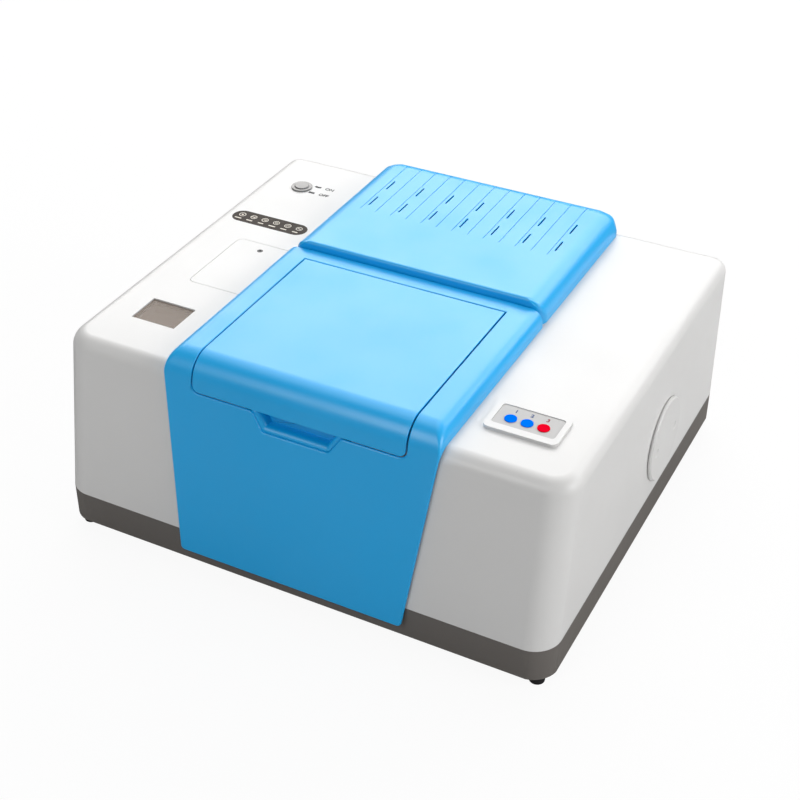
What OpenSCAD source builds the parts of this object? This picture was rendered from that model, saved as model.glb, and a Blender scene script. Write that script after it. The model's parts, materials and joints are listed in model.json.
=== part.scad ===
// Bench spectrometer for infrared light: a grey base, a white cover, a blue sample bay with a hinged
// lid, a blue vent cover, and the optical bench inside. All sizes are in millimetres.
// The front faces -Y, the right side faces +X, and the feet stand on Z = 0.

/* [Body] */
// Width of the base and of the white cover
body_w = 500; // [470:5:540]
// Depth of the base and of the white cover at their seam
body_d = 448; // [440:2:470]
// Height of the rubber feet
foot_h = 11; // [9:1:16]
// Diameter of the rubber feet
foot_d = 15; // [12:1:18]
// Inset of each foot's centre from the two outer faces
foot_inset = 15; // [14:0.5:17]
// Height of the grey base
base_h = 33; // [31:1:38]
// Wall and floor of the grey base
base_wall = 3; // [2.5:0.5:4]
// Height of the white cover above the seam
cover_h = 159; // [156:1:170]
// Wall of the white cover
cover_wall = 3; // [2.5:0.5:3.5]
// Backward lean of the cover's front wall in degrees
front_lean = 9; // [7:0.5:10]
// Plan radius of the front corners
front_corner_r = 26; // [22:1:30]
// Plan radius of the rear corners
rear_corner_r = 15; // [14:0.5:20]
// Radius of the cover's top edges
top_edge_r = 13; // [9:0.5:13.5]

/* [Sample bay] */
// Width of the white top on each side of the blue shroud
white_side = 115.5; // [113:0.5:119]
// Height of the shroud's crown above the white top
shroud_rise = 18.5; // [17:0.5:21]
// Drop from the crown to the shoulders
shoulder_drop = 0.9; // [0.5:0.1:1.5]
// Radius of the shroud's shoulders
shoulder_r = 17; // [14:0.5:17.5]
// Radius of the bend from the crown to the front panel
bend_r = 24; // [22:0.5:26]
// Thickness of the shroud and the lid
shroud_wall = 3; // [2.5:0.5:3]
// Distance that the front panel stands in front of the white wall
panel_proud = 5; // [4:0.5:7]
// Distance that the front panel's bottom corners are set in from the shroud's sides
panel_taper = 21; // [15:0.5:27]
// Height of the panel's bottom edge above the underside of the base
panel_lift = 15.5; // [12:0.5:20]
// Corner radius at the panel's bottom
panel_corner_r = 4; // [3:0.5:8]
// Edge radius all round the panel
panel_edge_r = 4; // [3:0.5:5]
// Shadow gap between the panel's edge and the white wall
shadow_gap = 1.2; // [0.5:0.1:2]
// Place of the shroud's rear end behind the middle of the body
shroud_back = 12.5; // [10:0.5:14]
// Width of the shroud's band on each side of the lid
band_w = 30.5; // [28:0.5:34]
// Distance of the lid's rear seam in front of the middle of the body
lid_back = 6; // [5:0.5:8]
// Height of the lid's lower edge below the white top
lid_lip = 10.7; // [9:0.1:13]
// Corner radius at the lid's lower edge
lid_corner_r = 6; // [4:0.5:9]
// Seam between the lid and the shroud
lid_seam = 0.8; // [0.6:0.1:1.2]
// Seam between the lid and the shroud at the hinge
hinge_seam = 1; // [0.9:0.1:1.4]
// Width of the finger recess at its top
recess_w = 80; // [70:1:90]
// Width of the finger recess at its bottom
recess_bottom_w = 66; // [56:1:70]
// Height of the finger recess below the lid's edge
recess_h = 16; // [14:0.5:20]
// Depth of the finger recess
recess_depth = 9; // [8:0.5:12]

/* [Lid hinge] */
// Distance of the hinge axis behind the lid's rear edge
axis_behind = 11; // [10:0.5:12]
// Distance of the hinge axis below the crown
axis_below = 6.5; // [6.5:0.1:7]
// Distance of each hinge from the lid's side
hinge_in = 24; // [20:1:34]
// Diameter of the hinge pins
hinge_pin_d = 3; // [2.5:0.1:3.2]
// Width of each hinge arm
arm_w = 5.4; // [4.5:0.1:6]
// Inner radius of the curved arm, which clears the edge of the shroud
arm_inner_r = 13; // [12.8:0.1:13.4]
// Thickness of the curved arm
arm_t = 4; // [3:0.1:4.2]

/* [Vent cover] */
// Distance that the vent cover's sides are set in from the shroud's sides
vent_in = 3; // [1.5:0.5:6]
// Sideways place of the vent cover, which sits a little to the right
vent_shift = 2.5; // [0:0.5:4]
// Height of the vent cover above the white top
vent_rise = 26; // [24:0.5:28]
// Radius of the vent cover's shoulders
vent_shoulder_r = 20; // [16:0.5:20.5]
// Radius of the vent cover's rear bend
vent_bend_r = 24; // [22:0.5:26]
// Radius of the vent cover's front edge
vent_edge_r = 3; // [2.6:0.2:4]
// Wall of the vent cover
vent_wall = 2.5; // [2:0.1:2.5]
// Distance of the vent cover's rear face from the rear of the body
vent_inset = 1.5; // [1:0.1:2]
// Height of the vent cover's apron, which hangs over the rear of the body
vent_apron = 24; // [20:1:30]
// Number of grooves
groove_count = 13; // [9:2:13]
// Distance between grooves
groove_pitch = 16.8; // [15:0.1:17]
// Width of a groove
groove_w = 1.2; // [0.8:0.1:1.6]
// Depth of a groove
groove_depth = 0.8; // [0.4:0.1:1]
// Distance of the grooves' front ends from the vent cover's front
groove_start = 83.5; // [75:0.5:90]
// Length of a vent slot
slot_l = 20; // [16:0.5:24]
// Width of a vent slot
slot_w = 2.2; // [1.8:0.1:4]
// Distance of a slot's middle to the right of its groove
slot_offset = 4.2; // [3.5:0.1:5]
// Distance between the two rows of slots
slot_row_pitch = 38; // [34:0.5:40]

/* [Panel on the left] */
// Width of the window
window_w = 46.7; // [40:0.1:50]
// Depth of the window from front to rear
window_d = 36.6; // [32:0.1:40]
// Distance of the window's middle from the left face
window_in = 63.4; // [58:0.1:66]
// Distance of the window's middle behind the seam's front line
window_back = 98; // [94:1:104]
// Depth of the window's pane below the white top
window_well = 1.5; // [1:0.1:2.5]
// Width of the hatch
hatch_w = 63.5; // [56:0.5:65]
// Length of the hatch
hatch_l = 94; // [88:1:98]
// Distance of the hatch's right edge from the shroud
hatch_by = 2; // [1:0.5:4]
// Distance of the hatch's front edge behind the seam's front line
hatch_back = 158; // [156:1:160]
// Corner radius of the hatch
hatch_corner_r = 6; // [4:0.5:8]
// Gap round the hatch
hatch_gap = 0.5; // [0.4:0.1:0.8]
// Distance of the hatch's screw from its rear edge
hatch_screw_in = 13.4; // [12:0.1:15]
// Length of the indicator strip
strip_l = 86; // [80:1:90]
// Width of the indicator strip
strip_w = 22; // [18:0.5:24]
// Distance of the strip's middle from the left face
strip_in = 60; // [57:0.5:62]
// Distance of the strip's middle behind the seam's front line
strip_back = 293; // [288:1:300]
// Diameter of the power switch's ring
switch_ring_d = 22; // [20:0.5:24]
// Diameter of the power button
power_button_d = 15; // [13:0.5:16]
// Travel of the power button
power_travel = 2; // [1.5:0.1:2.5]
// Distance of the power switch from the left face
switch_in = 50; // [46:0.5:54]
// Distance of the power switch behind the seam's front line
switch_back = 376; // [370:1:382]

/* [Keypad on the right] */
// Width of the raised keypad frame
keypad_w = 67; // [62:0.5:72]
// Depth of the raised keypad frame
keypad_d = 42; // [38:0.5:46]
// Height of the raised keypad frame
keypad_h = 3; // [2.5:0.1:3.5]
// Width of the keypad's membrane
membrane_w = 57; // [54:0.5:60]
// Depth of the keypad's membrane
membrane_d = 29; // [26:0.5:30]
// Distance of the keypad's middle from the right face
keypad_in = 68.5; // [66:0.5:72]
// Distance of the keypad's middle behind the seam's front line
keypad_back = 92.5; // [90:0.5:98]
// Diameter of a key
key_d = 10.8; // [9:0.1:11.2]
// Distance between keys
key_pitch = 14.8; // [14.5:0.1:15.2]
// Travel of a key
key_travel = 0.5; // [0.3:0.1:0.6]

/* [Side port] */
// Diameter of the screwed port cap
cap_d = 83; // [80:1:86]
// Distance that the cap stands out of the right wall
cap_proud = 3.7; // [3.4:0.1:4.5]
// Distance of the port's middle behind the middle of the body
port_back = 45; // [40:1:50]
// Height of the port's middle above the underside of the base
port_up = 85; // [84:1:90]
// Diameter of the port's bore
port_bore_d = 66; // [64:1:68]
// Distance between the two finger dimples
dimple_pitch = 50; // [44:1:56]
// Diameter of a finger dimple
dimple_d = 13; // [10:0.5:15]
// Diameter of the desiccant cartridge
cartridge_d = 61; // [57:1:61.4]
// Length of the desiccant cartridge
cartridge_l = 88; // [70:1:90]

/* [Sample compartment] */
// Distance of the tub's sides from the lid's sides
tub_in = 4; // [4:0.5:10]
// Wall of the tub
tub_wall = 3; // [2.5:0.5:4]
// Distance of the light beam in front of the middle of the body
beam_front = 98; // [94:1:104]
// Height of the light beam above the optical bench
beam_h = 74; // [70:1:80]
// Clear diameter of the beam
beam_d = 30; // [24:1:32]
// Diameter of the beam windows
beam_window_d = 38; // [36:1:40]
// Thickness of the beam windows
beam_window_t = 4; // [3:0.5:5]
// Height of the seal under the lid
seal_h = 4; // [3:0.5:5]
// Width of the plate for accessories
accessory_w = 120; // [104:1:130]
// Depth of the plate for accessories
accessory_d = 90; // [84:1:100]
// Thickness of the plate for accessories
accessory_t = 6; // [5:0.5:8]
// Distance between the plate's threaded holes from left to right
hole_pitch_x = 90; // [80:1:94]
// Distance between the plate's threaded holes from front to rear
hole_pitch_y = 70; // [64:1:74]
// Diameter of the plate's threaded holes
hole_d = 4; // [3:0.5:5]
// Width of the sample holder
holder_w = 50; // [44:1:54]
// Height of the sample holder
holder_h = 88; // [80:1:92]
// Thickness of the sample holder
holder_t = 3; // [2:0.5:4]
// Depth of the sample holder in its bracket's grooves
holder_grip = 40; // [30:1:50]

/* [Optical bench] */
// Thickness of the optical bench
bench_t = 10; // [8:1:12]
// Height of the bench's rubber mounts
mount_h = 14; // [12:1:16]
// Diameter of the bench's rubber mounts
mount_d = 20; // [16:1:24]
// Room behind the bench for the electronics
rear_bay = 102; // [98:1:106]
// Room to the right of the bench
right_bay = 84; // [80:1:88]
// Distance of the interferometer's middle from the left face
splitter_in = 120; // [118:1:121]
// Distance of the interferometer's middle in front of the bench's rear edge
splitter_front = 82; // [81:1:86]
// Side of the interferometer's block
block_w = 56; // [54:1:58]
// Diameter of the beam splitter
splitter_d = 40; // [36:1:42]
// Thickness of the beam splitter
splitter_t = 5; // [4:0.5:6]
// Diameter of the flat mirrors
mirror_d = 32; // [28:1:34]
// Thickness of the flat mirrors
mirror_t = 5; // [4:0.5:6]
// Diameter of the curved mirrors
curved_mirror_d = 40; // [34:1:42]
// Thickness of the curved mirrors
curved_mirror_t = 8; // [6:0.5:9]
// Diameter of the carriage's rails
rail_d = 5; // [4:0.5:6]
// Length of the carriage
carriage_l = 16; // [14:1:18]
// Travel of the moving mirror each way
scan_travel = 4; // [3:0.5:5]
// Diameter of the drive's magnet
magnet_d = 24; // [20:1:26]
// Diameter of the reference laser's tube
laser_d = 22; // [16:1:26]
// Length of the reference laser's tube
laser_l = 150; // [120:1:160]

/* [Hidden] */
$fn = 96;

// Clearances: a running fit, the room between pieces that move apart, and the reach of a cut
fit = 0.05;
clearance = 0.3;
over = 1;

// Drafts of the moulded walls, as distance per height
side_draft = 0.0098;
rear_draft = 0.0255;
base_taper = 0.6;

// Heights above the surface that the feet stand on
floor_z = foot_h + base_wall;
seam_z = foot_h + base_h;
top_z = seam_z + cover_h;
crown_z = top_z + shroud_rise;
vent_z = top_z + vent_rise;
panel_z = foot_h + panel_lift;
bench_z = floor_z + mount_h;
deck_z = bench_z + bench_t;
beam_z = deck_z + beam_h;
port_z = foot_h + port_up;

// The walls' outer faces at a height, measured from the middle of the seam
function side_x(z) = body_w / 2 - (z - seam_z) * side_draft;
function rear_y(z) = body_d / 2 - (z - seam_z) * rear_draft;
function front_y(z) = -body_d / 2 + (z - seam_z) * tan(front_lean);
function panel_y(z) = front_y(z) - panel_proud / cos(front_lean);

// The reach of the cap and of the panel past the body, which moves the body off the middle
side_tilt = atan(side_draft);
rear_tilt = atan(rear_draft);
cap_chamfer = 1.5;
cap_reach = side_x(port_z) + cap_proud * cos(side_tilt) + (cap_d / 2 - cap_chamfer) * sin(side_tilt);
panel_reach = panel_edge_r - panel_edge_r / cos(front_lean) - panel_y(panel_z + panel_edge_r);
body_x = (body_w / 2 - cap_reach) / 2;
body_y = (panel_reach - body_d / 2) / 2;

// Widths that follow from the body's
shroud_w = body_w - 2 * white_side;
panel_bottom_w = shroud_w - 2 * panel_taper;
lid_w = shroud_w - 2 * band_w;
hinge_x = lid_w / 2 - hinge_in;
tub_w = lid_w - 2 * tub_in;
vent_w = shroud_w - 2 * vent_in;

// Places on the body
window_x = -body_w / 2 + window_in;
window_y = -body_d / 2 + window_back;
hatch_x = -shroud_w / 2 - hatch_by - hatch_w / 2;
hatch_y = -body_d / 2 + hatch_back + hatch_l / 2;
hatch_screw_y = hatch_y + hatch_l / 2 - hatch_screw_in;
strip_x = -body_w / 2 + strip_in;
strip_y = -body_d / 2 + strip_back;
switch_x = -body_w / 2 + switch_in;
switch_y = -body_d / 2 + switch_back;
keypad_x = body_w / 2 - keypad_in;
keypad_y = -body_d / 2 + keypad_back;
vent_front = shroud_back + 0.6;
vent_rear = body_d / 2 - vent_inset;

// The lid's hinge
hinge_y = -lid_back + axis_behind;
hinge_z = crown_z - axis_below;
arm_outer_r = arm_inner_r + arm_t;
hub_r = hinge_pin_d / 2 + 1.5;
ear_t = 3;
ear_gap = 0.4;
pin_l = arm_w + 2 * (ear_gap + ear_t);
lid_clear_r = norm([axis_behind - hinge_seam, axis_below]) + clearance;

// The tub
tub_front = panel_y(crown_z) + bend_r + over;
tub_rear = hinge_y - arm_outer_r - 1.4;
tub_d = tub_rear - tub_front;
tub_y = (tub_front + tub_rear) / 2;
rim_z = crown_z - shroud_wall - clearance - seal_h;
beam_y = -beam_front;

function toward(from, to) = (to - from) / norm(to - from);
function corner_cut(a, p, b, r) =
    let (u = toward(p, a), v = toward(p, b), reach = r / tan(acos(u * v) / 2))
    r > 0 ? [p + u * reach, p + v * reach] : [p];
function corner_centre(a, p, b, r) =
    let (u = toward(p, a), v = toward(p, b))
    p + toward([0, 0], u + v) * r / sin(acos(u * v) / 2);

// A flat outline with its own radius at every corner
module outline(points, radii) {
    n = len(points);
    polygon([
        for (i = [0:n - 1])
            each corner_cut(points[(i + n - 1) % n], points[i], points[(i + 1) % n], radii[i])
    ]);
    for (i = [0:n - 1])
        if (radii[i] > 0)
            translate(corner_centre(points[(i + n - 1) % n], points[i], points[(i + 1) % n], radii[i]))
                circle(r = radii[i]);
}

// A centred rectangle with one radius at its corners
module round_rect(w, d, r)
    outline([[-w / 2, -d / 2], [w / 2, -d / 2], [w / 2, d / 2], [-w / 2, d / 2]], [r, r, r, r]);

// An outline of Y and Z drawn out along X, and one of X and Z drawn out along Y
module along_x(length) rotate([90, 0, 90]) linear_extrude(length, center = true) children();
module along_y(length) rotate([90, 0, 0]) linear_extrude(length, center = true) children();
module at_body() translate([body_x, body_y, 0]) children();
module both_sides() { children(); mirror([1, 0, 0]) children(); }

// A plate with its corners rounded, standing on its centre's height
module slab(w, d, h, r) linear_extrude(h) round_rect(w, d, r);
module block(w, d, h) translate([-w / 2, -d / 2, 0]) cube([w, d, h]);
module tube(d, bore, h)
    difference() {
        cylinder(d = d, h = h);
        translate([0, 0, -over]) cylinder(d = bore, h = h + 2 * over);
    }

// The round front corners lean back with the front wall
module leaning_plan(inset)
    translate([0, front_y(seam_z), seam_z])
        rotate([-front_lean, 0, 0])
            translate([0, 0, -base_h])
                linear_extrude(cover_h + 3 * base_h)
                    outline(
                        [
                            [-side_x(seam_z) + inset, inset * cos(front_lean)],
                            [side_x(seam_z) - inset, inset * cos(front_lean)],
                            [side_x(seam_z) - inset, 2 * body_d],
                            [-side_x(seam_z) + inset, 2 * body_d],
                        ],
                        [front_corner_r - inset, front_corner_r - inset, 0, 0]
                    );
module upright_plan(inset, front_r)
    linear_extrude(2 * top_z)
        outline(
            [
                [-body_w / 2 + inset, -body_d / 2 + inset],
                [body_w / 2 - inset, -body_d / 2 + inset],
                [body_w / 2 - inset, body_d / 2 - inset],
                [-body_w / 2 + inset, body_d / 2 - inset],
            ],
            [front_r, front_r, rear_corner_r - inset, rear_corner_r - inset]
        );

// The cover's solid form, less an inset all round and from a given height
module cover_form(inset = 0, start = seam_z) {
    low = inset > 0 ? start - over : start;
    top = top_z - inset;
    edge = top_edge_r - inset;
    intersection() {
        along_y(2 * body_d)
            outline(
                [
                    [-side_x(low) + inset, low], [side_x(low) - inset, low],
                    [side_x(top) - inset, top], [-side_x(top) + inset, top],
                ],
                [0, 0, edge, edge]
            );
        along_x(2 * body_w)
            outline(
                [
                    [front_y(low) + inset, low], [rear_y(low) - inset, low],
                    [rear_y(top) - inset, top], [front_y(top) + inset, top],
                ],
                [0, 0, edge, edge]
            );
        leaning_plan(inset);
        upright_plan(inset, 0);
    }
}

// The base's solid form, less an inset all round
module base_form(inset = 0) {
    low = foot_h + inset;
    top = inset > 0 ? seam_z + over : seam_z;
    half_w = body_w / 2 - inset;
    half_d = body_d / 2 - inset;
    intersection() {
        along_y(2 * body_d)
            polygon([
                [-half_w + base_taper, low], [half_w - base_taper, low], [half_w, top], [-half_w, top],
            ]);
        along_x(2 * body_w)
            polygon([
                [-half_d + base_taper, low], [half_d - base_taper, low], [half_d, top], [-half_d, top],
            ]);
        upright_plan(inset, front_corner_r - inset);
    }
}

// The shroud's solid form with the lid in place, less an inset all round
module shroud_form(inset = 0) {
    half_w = shroud_w / 2 - inset;
    half_foot = panel_bottom_w / 2 - inset;
    slope = shoulder_drop / (shroud_w / 2 - shoulder_r - lid_w / 2);
    side_top = crown_z - inset - slope * (half_w - lid_w / 2);
    low = inset > 0 ? panel_z - over : panel_z;
    lean = inset / cos(front_lean);
    intersection() {
        along_y(2 * body_d)
            outline(
                [
                    [-half_foot, low], [half_foot, low], [half_w, top_z], [half_w, side_top],
                    [lid_w / 2, crown_z - inset], [-lid_w / 2, crown_z - inset],
                    [-half_w, side_top], [-half_w, top_z],
                ],
                [panel_corner_r, panel_corner_r, 0, shoulder_r - inset, 0, 0, shoulder_r - inset, 0]
            );
        along_x(2 * body_w)
            outline(
                [
                    [panel_y(low) + lean, low], [shroud_back - inset, low],
                    [shroud_back - inset, crown_z - inset], [panel_y(crown_z) + lean, crown_z - inset],
                ],
                [inset > 0 ? 0 : panel_edge_r, 0, 0, bend_r - inset]
            );
    }
}

// The upright space of the lid seen from the front, with a seam all round
module lid_space(seam = 0, rear_seam = 0)
    translate([0, -lid_back + rear_seam - body_d, 0])
        rotate([90, 0, 0])
            translate([0, 0, -body_d])
                linear_extrude(body_d)
                    outline(
                        [
                            [-lid_w / 2 - seam, top_z - lid_lip - seam],
                            [lid_w / 2 + seam, top_z - lid_lip - seam],
                            [lid_w / 2 + seam, 2 * top_z],
                            [-lid_w / 2 - seam, 2 * top_z],
                        ],
                        [lid_corner_r + seam, lid_corner_r + seam, 0, 0]
                    );

// The finger recess behind the lid's lower edge, grown by the wall of its pocket
module recess_space(wall = 0) {
    low = top_z - lid_lip - recess_h;
    high = top_z - lid_lip;
    middle = (low + high) / 2;
    back = panel_y(middle) + recess_depth + wall;
    front = wall > 0 ? panel_y(middle) + panel_edge_r / 3 : panel_y(low) - over;
    top = wall > 0 ? top_z + over : top_z + shroud_wall;
    translate([0, back, 0])
        rotate([90, 0, 0])
            linear_extrude(back - front)
                outline(
                    [
                        [-recess_bottom_w / 2 - wall, low - wall], [recess_bottom_w / 2 + wall, low - wall],
                        [recess_w / 2 + wall, high], [recess_w / 2 + wall, top],
                        [-recess_w / 2 - wall, top], [-recess_w / 2 - wall, high],
                    ],
                    [5, 5, 0, 0, 0, 0]
                );
}

// The vent cover's solid form, less an inset all round
module vent_form(inset = 0) {
    half_w = vent_w / 2 - inset;
    low = top_z - vent_apron - (inset > 0 ? over : 0);
    edge = max(vent_edge_r - inset, 0.4);
    translate([vent_shift, 0, 0])
        intersection() {
            along_y(2 * body_d)
                outline(
                    [
                        [-half_w, low], [half_w, low], [half_w, vent_z - inset], [-half_w, vent_z - inset],
                    ],
                    [0, 0, vent_shoulder_r - inset, vent_shoulder_r - inset]
                );
            along_x(2 * body_w)
                outline(
                    [
                        [vent_front + inset, low], [vent_rear - inset, low],
                        [vent_rear - inset, vent_z - inset], [vent_front + inset, vent_z - inset],
                    ],
                    [0, 0, vent_bend_r - inset, edge]
                );
        }
}

// The screws that hold the cover to the base, three along each side
cover_screw_d = 4;
screw_head_d = 7;
screw_head_h = 3;
screw_post_w = 14;
screw_post_h = 22;
screw_tip = 4;
cover_screw_l = base_h - screw_head_h + screw_post_h - screw_tip;
front_screw_in = 84;
rear_screw_in = 60;
screw_x = body_w / 2 - cover_wall - screw_post_w / 2;
screw_ys = [-body_d / 2 + front_screw_in, 0, body_d / 2 - rear_screw_in];
module at_cover_screws()
    both_sides()
        for (y = screw_ys)
            translate([screw_x, y, 0]) children();
module at_feet()
    for (x = [-1, 1])
        for (y = [-1, 1])
            translate([
                x * (body_w / 2 - base_taper - foot_inset), y * (body_d / 2 - base_taper - foot_inset), 0,
            ])
                children();

foot_post_d = 12;
foot_post_h = 6;
module base_pan() {
    color("dimgray")
        at_body()
            difference() {
                union() {
                    difference() {
                        base_form();
                        base_form(base_wall);
                    }
                    at_feet() translate([0, 0, floor_z]) cylinder(d = foot_post_d, h = foot_post_h);
                    intersection() {
                        at_cover_screws()
                            translate([0, 0, floor_z])
                                block(screw_post_w, screw_post_w, base_h - base_wall);
                        base_form();
                    }
                }
                at_feet() cylinder(d = cover_screw_d, h = floor_z + foot_post_h + over);
                at_cover_screws() {
                    translate([0, 0, foot_h - over]) cylinder(d = screw_head_d, h = screw_head_h + over);
                    cylinder(d = cover_screw_d, h = seam_z + over);
                }
            }
}

foot_screw_h = 3;
foot_screw_l = floor_z + foot_post_h - 2 * foot_screw_h;
module feet() {
    color([0.1, 0.1, 0.1])
        at_body()
            at_feet()
                difference() {
                    union() {
                        cylinder(d1 = foot_d - 1, d2 = foot_d, h = foot_h / 2);
                        translate([0, 0, foot_h / 2]) cylinder(d = foot_d, h = foot_h / 2);
                    }
                    translate([0, 0, -over]) cylinder(d = screw_head_d, h = foot_screw_h * 2 + over);
                    cylinder(d = cover_screw_d, h = foot_h + over);
                }
}

module screw(d, head_d, head_h, length) {
    difference() {
        cylinder(d = head_d, h = head_h);
        translate([0, 0, -over]) cylinder(d = head_d / 2, h = head_h / 2 + over, $fn = 6);
    }
    translate([0, 0, head_h]) cylinder(d = d, h = length);
}

module foot_screws() {
    color("silver")
        at_body()
            at_feet()
                translate([0, 0, foot_screw_h])
                    screw(cover_screw_d, screw_head_d, foot_screw_h, foot_screw_l);
}

module cover_screws() {
    color("silver")
        at_body()
            at_cover_screws()
                translate([0, 0, foot_h])
                    screw(cover_screw_d, screw_head_d, screw_head_h, cover_screw_l);
}

// Openings in the white cover
air_side = 35;
air_end = 30;
air_w = vent_w - 2 * air_side;
air_front = vent_front + air_end;
air_rear = vent_rear - air_end;
rear_panel_in = 100;
rear_panel_up = 46;
rear_panel_x = body_w / 2 - rear_panel_in;
rear_panel_z = seam_z + rear_panel_up;
rear_panel_w = 130;
rear_panel_h = 60;
rear_lip = 4;
rear_panel_r = 3;
module at_rear()
    translate([rear_panel_x, rear_y(rear_panel_z), rear_panel_z])
        rotate([-90 + rear_tilt, 0, 0]) children();
module at_port()
    translate([side_x(port_z), port_back, port_z]) rotate([0, 90 - side_tilt, 0]) children();

opening_lap = 4;
module housing_cover() {
    opening_rear = hinge_y + hub_r + clearance;
    opening_d = opening_rear - tub_front;
    color("white")
        at_body()
            difference() {
                union() {
                    difference() {
                        cover_form();
                        cover_form(cover_wall);
                    }
                    intersection() {
                        union() {
                            at_cover_screws()
                                translate([0, 0, seam_z]) block(screw_post_w, screw_post_w, screw_post_h);
                            translate([hatch_x, hatch_y, hatch_z - hatch_ledge])
                                block(hatch_w + 2 * hatch_rim, hatch_l + 2 * hatch_rim, hatch_ledge);
                        }
                        cover_form();
                    }
                }
                at_cover_screws()
                    translate([0, 0, seam_z - over])
                        cylinder(d = cover_screw_d, h = screw_post_h - screw_tip + over);
                translate([0, tub_front + opening_d / 2 - opening_lap / 2, top_z - 2 * cover_wall])
                    block(tub_w + 2 * clearance, opening_d + opening_lap, 4 * cover_wall);
                recess_space(recess_wall);
                translate([vent_shift, (air_front + air_rear) / 2, top_z - 2 * cover_wall])
                    block(air_w, air_rear - air_front, 4 * cover_wall);
                at_hatch() {
                    slab(hatch_w, hatch_l, hatch_t + over, hatch_corner_r);
                    translate([0, 0, -hatch_ledge - over])
                        slab(hatch_w - 2 * hatch_rim, hatch_l - 2 * hatch_rim, hatch_ledge + 2 * over, 3);
                }
                translate([window_x, window_y, top_z - 2 * cover_wall])
                    slab(window_w, window_d, 4 * cover_wall, window_r);
                translate([strip_x, strip_y, top_z - strip_t])
                    slab(strip_l, strip_w, strip_t + over, strip_r);
                translate([switch_x, switch_y, 0]) cylinder(d = switch_bore_d, h = top_z + over);
                at_keypad()
                    translate([0, key_back, -2 * cover_wall])
                        slab(cable_slot_w, cable_slot_d, 4 * cover_wall, cable_slot_r);
                at_port() translate([0, 0, -4 * cover_wall]) cylinder(d = port_bore_d, h = 8 * cover_wall);
                at_rear()
                    translate([0, 0, -4 * cover_wall])
                        slab(
                            rear_panel_w - 2 * rear_lip, rear_panel_h - 2 * rear_lip,
                            8 * cover_wall, rear_panel_r
                        );
            }
}

recess_wall = 2;
module sample_shroud() {
    color([0.35, 0.7, 0.95])
        at_body() {
            difference() {
                shroud_form();
                cover_form(0, panel_z - over);
                translate([0, -shadow_gap, 0]) cover_form(0, panel_z - over);
                intersection() {
                    shroud_form(shroud_wall);
                    translate([0, 0, top_z - 2 * top_edge_r + body_w]) cube(2 * body_w, center = true);
                }
                lid_space(lid_seam, hinge_seam);
                recess_space();
            }
            difference() {
                recess_space(recess_wall);
                recess_space();
                translate([0, 0, top_z - lid_lip]) lid_room();
            }
            hinge_ears();
        }
}

// The room that the lid's lip needs in front of the pocket
module lid_room()
    translate([-body_w / 2, -body_d, 0])
        cube([body_w, body_d + panel_y(top_z) + panel_proud, top_z]);

// The two ears of each hinge, which hang from the shroud's rear band and hold the pins
module hinge_ears() {
    ear_x = arm_w / 2 + ear_gap + ear_t / 2;
    both_sides()
        for (x = [hinge_x - ear_x, hinge_x + ear_x])
            difference() {
                translate([x, hinge_y, 0]) {
                    translate([0, 0, hinge_z]) block(ear_t, 2 * hub_r, crown_z - shroud_wall - hinge_z);
                    translate([-ear_t / 2, 0, hinge_z]) rotate([0, 90, 0]) cylinder(r = hub_r, h = ear_t);
                }
                translate([x - ear_t, hinge_y, hinge_z])
                    rotate([0, 90, 0]) cylinder(d = hinge_pin_d, h = 2 * ear_t);
            }
}

// A curved arm that turns about the hinge and reaches the lid in front of the shroud's edge
module lid_arm() {
    room = arm_outer_r + over;
    under = crown_z - shroud_wall - hinge_z;
    translate([hinge_x - arm_w / 2, hinge_y, hinge_z])
        difference() {
            union() {
                intersection() {
                    rotate([0, 90, 0]) tube(2 * arm_outer_r, 2 * arm_inner_r, arm_w);
                    translate([0, -room, -room]) cube([arm_w, room, room + under]);
                }
                translate([0, -arm_t / 2, -arm_inner_r - arm_t / 2])
                    cube([arm_w, arm_t, arm_inner_r + arm_t / 2]);
                rotate([0, 90, 0]) cylinder(r = hub_r, h = arm_w);
            }
            translate([-over, 0, 0])
                rotate([0, 90, 0]) cylinder(d = hinge_pin_d + 2 * fit, h = arm_w + 2 * over);
        }
}

module sample_lid() {
    color([0.4, 0.75, 1])
        at_body() {
            difference() {
                intersection() {
                    shroud_form();
                    lid_space();
                }
                shroud_form(shroud_wall);
                translate([-body_w / 2, hinge_y, hinge_z])
                    rotate([0, 90, 0]) cylinder(r = lid_clear_r, h = body_w);
            }
            both_sides() lid_arm();
        }
}

module lid_hinge_pins() {
    color("silver")
        at_body()
            both_sides()
                translate([hinge_x - pin_l / 2, hinge_y, hinge_z])
                    rotate([0, 90, 0]) cylinder(d = hinge_pin_d, h = pin_l);
}

module lid_seal() {
    color([0.15, 0.15, 0.15])
        at_body()
            translate([0, tub_y, rim_z])
                difference() {
                    block(tub_w, tub_d, seal_h);
                    translate([0, 0, -over])
                        block(tub_w - 2 * tub_wall, tub_d - 2 * tub_wall, seal_h + 2 * over);
                }
}

// Magnets in the tub's front corners hold the lid shut by two steel plates
catch_d = 8;
catch_h = 5;
catch_plate_t = 1.2;
catch_shelf = 14;
catch_floor = 2;
catch_plate_lap = 2;
catch_x = tub_w / 2 - tub_wall - catch_shelf / 2;
catch_y = tub_front + tub_wall + catch_shelf / 2;
module catch_magnets() {
    color("gray")
        at_body()
            both_sides()
                translate([catch_x, catch_y, rim_z - catch_h])
                    cylinder(d = catch_d, h = catch_h + seal_h / 2);
}

module catch_plates() {
    color("silver")
        at_body()
            both_sides()
                translate([catch_x, catch_y, crown_z - shroud_wall - catch_plate_t])
                    cylinder(d = catch_d + 2 * catch_plate_lap, h = catch_plate_t);
}

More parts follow.
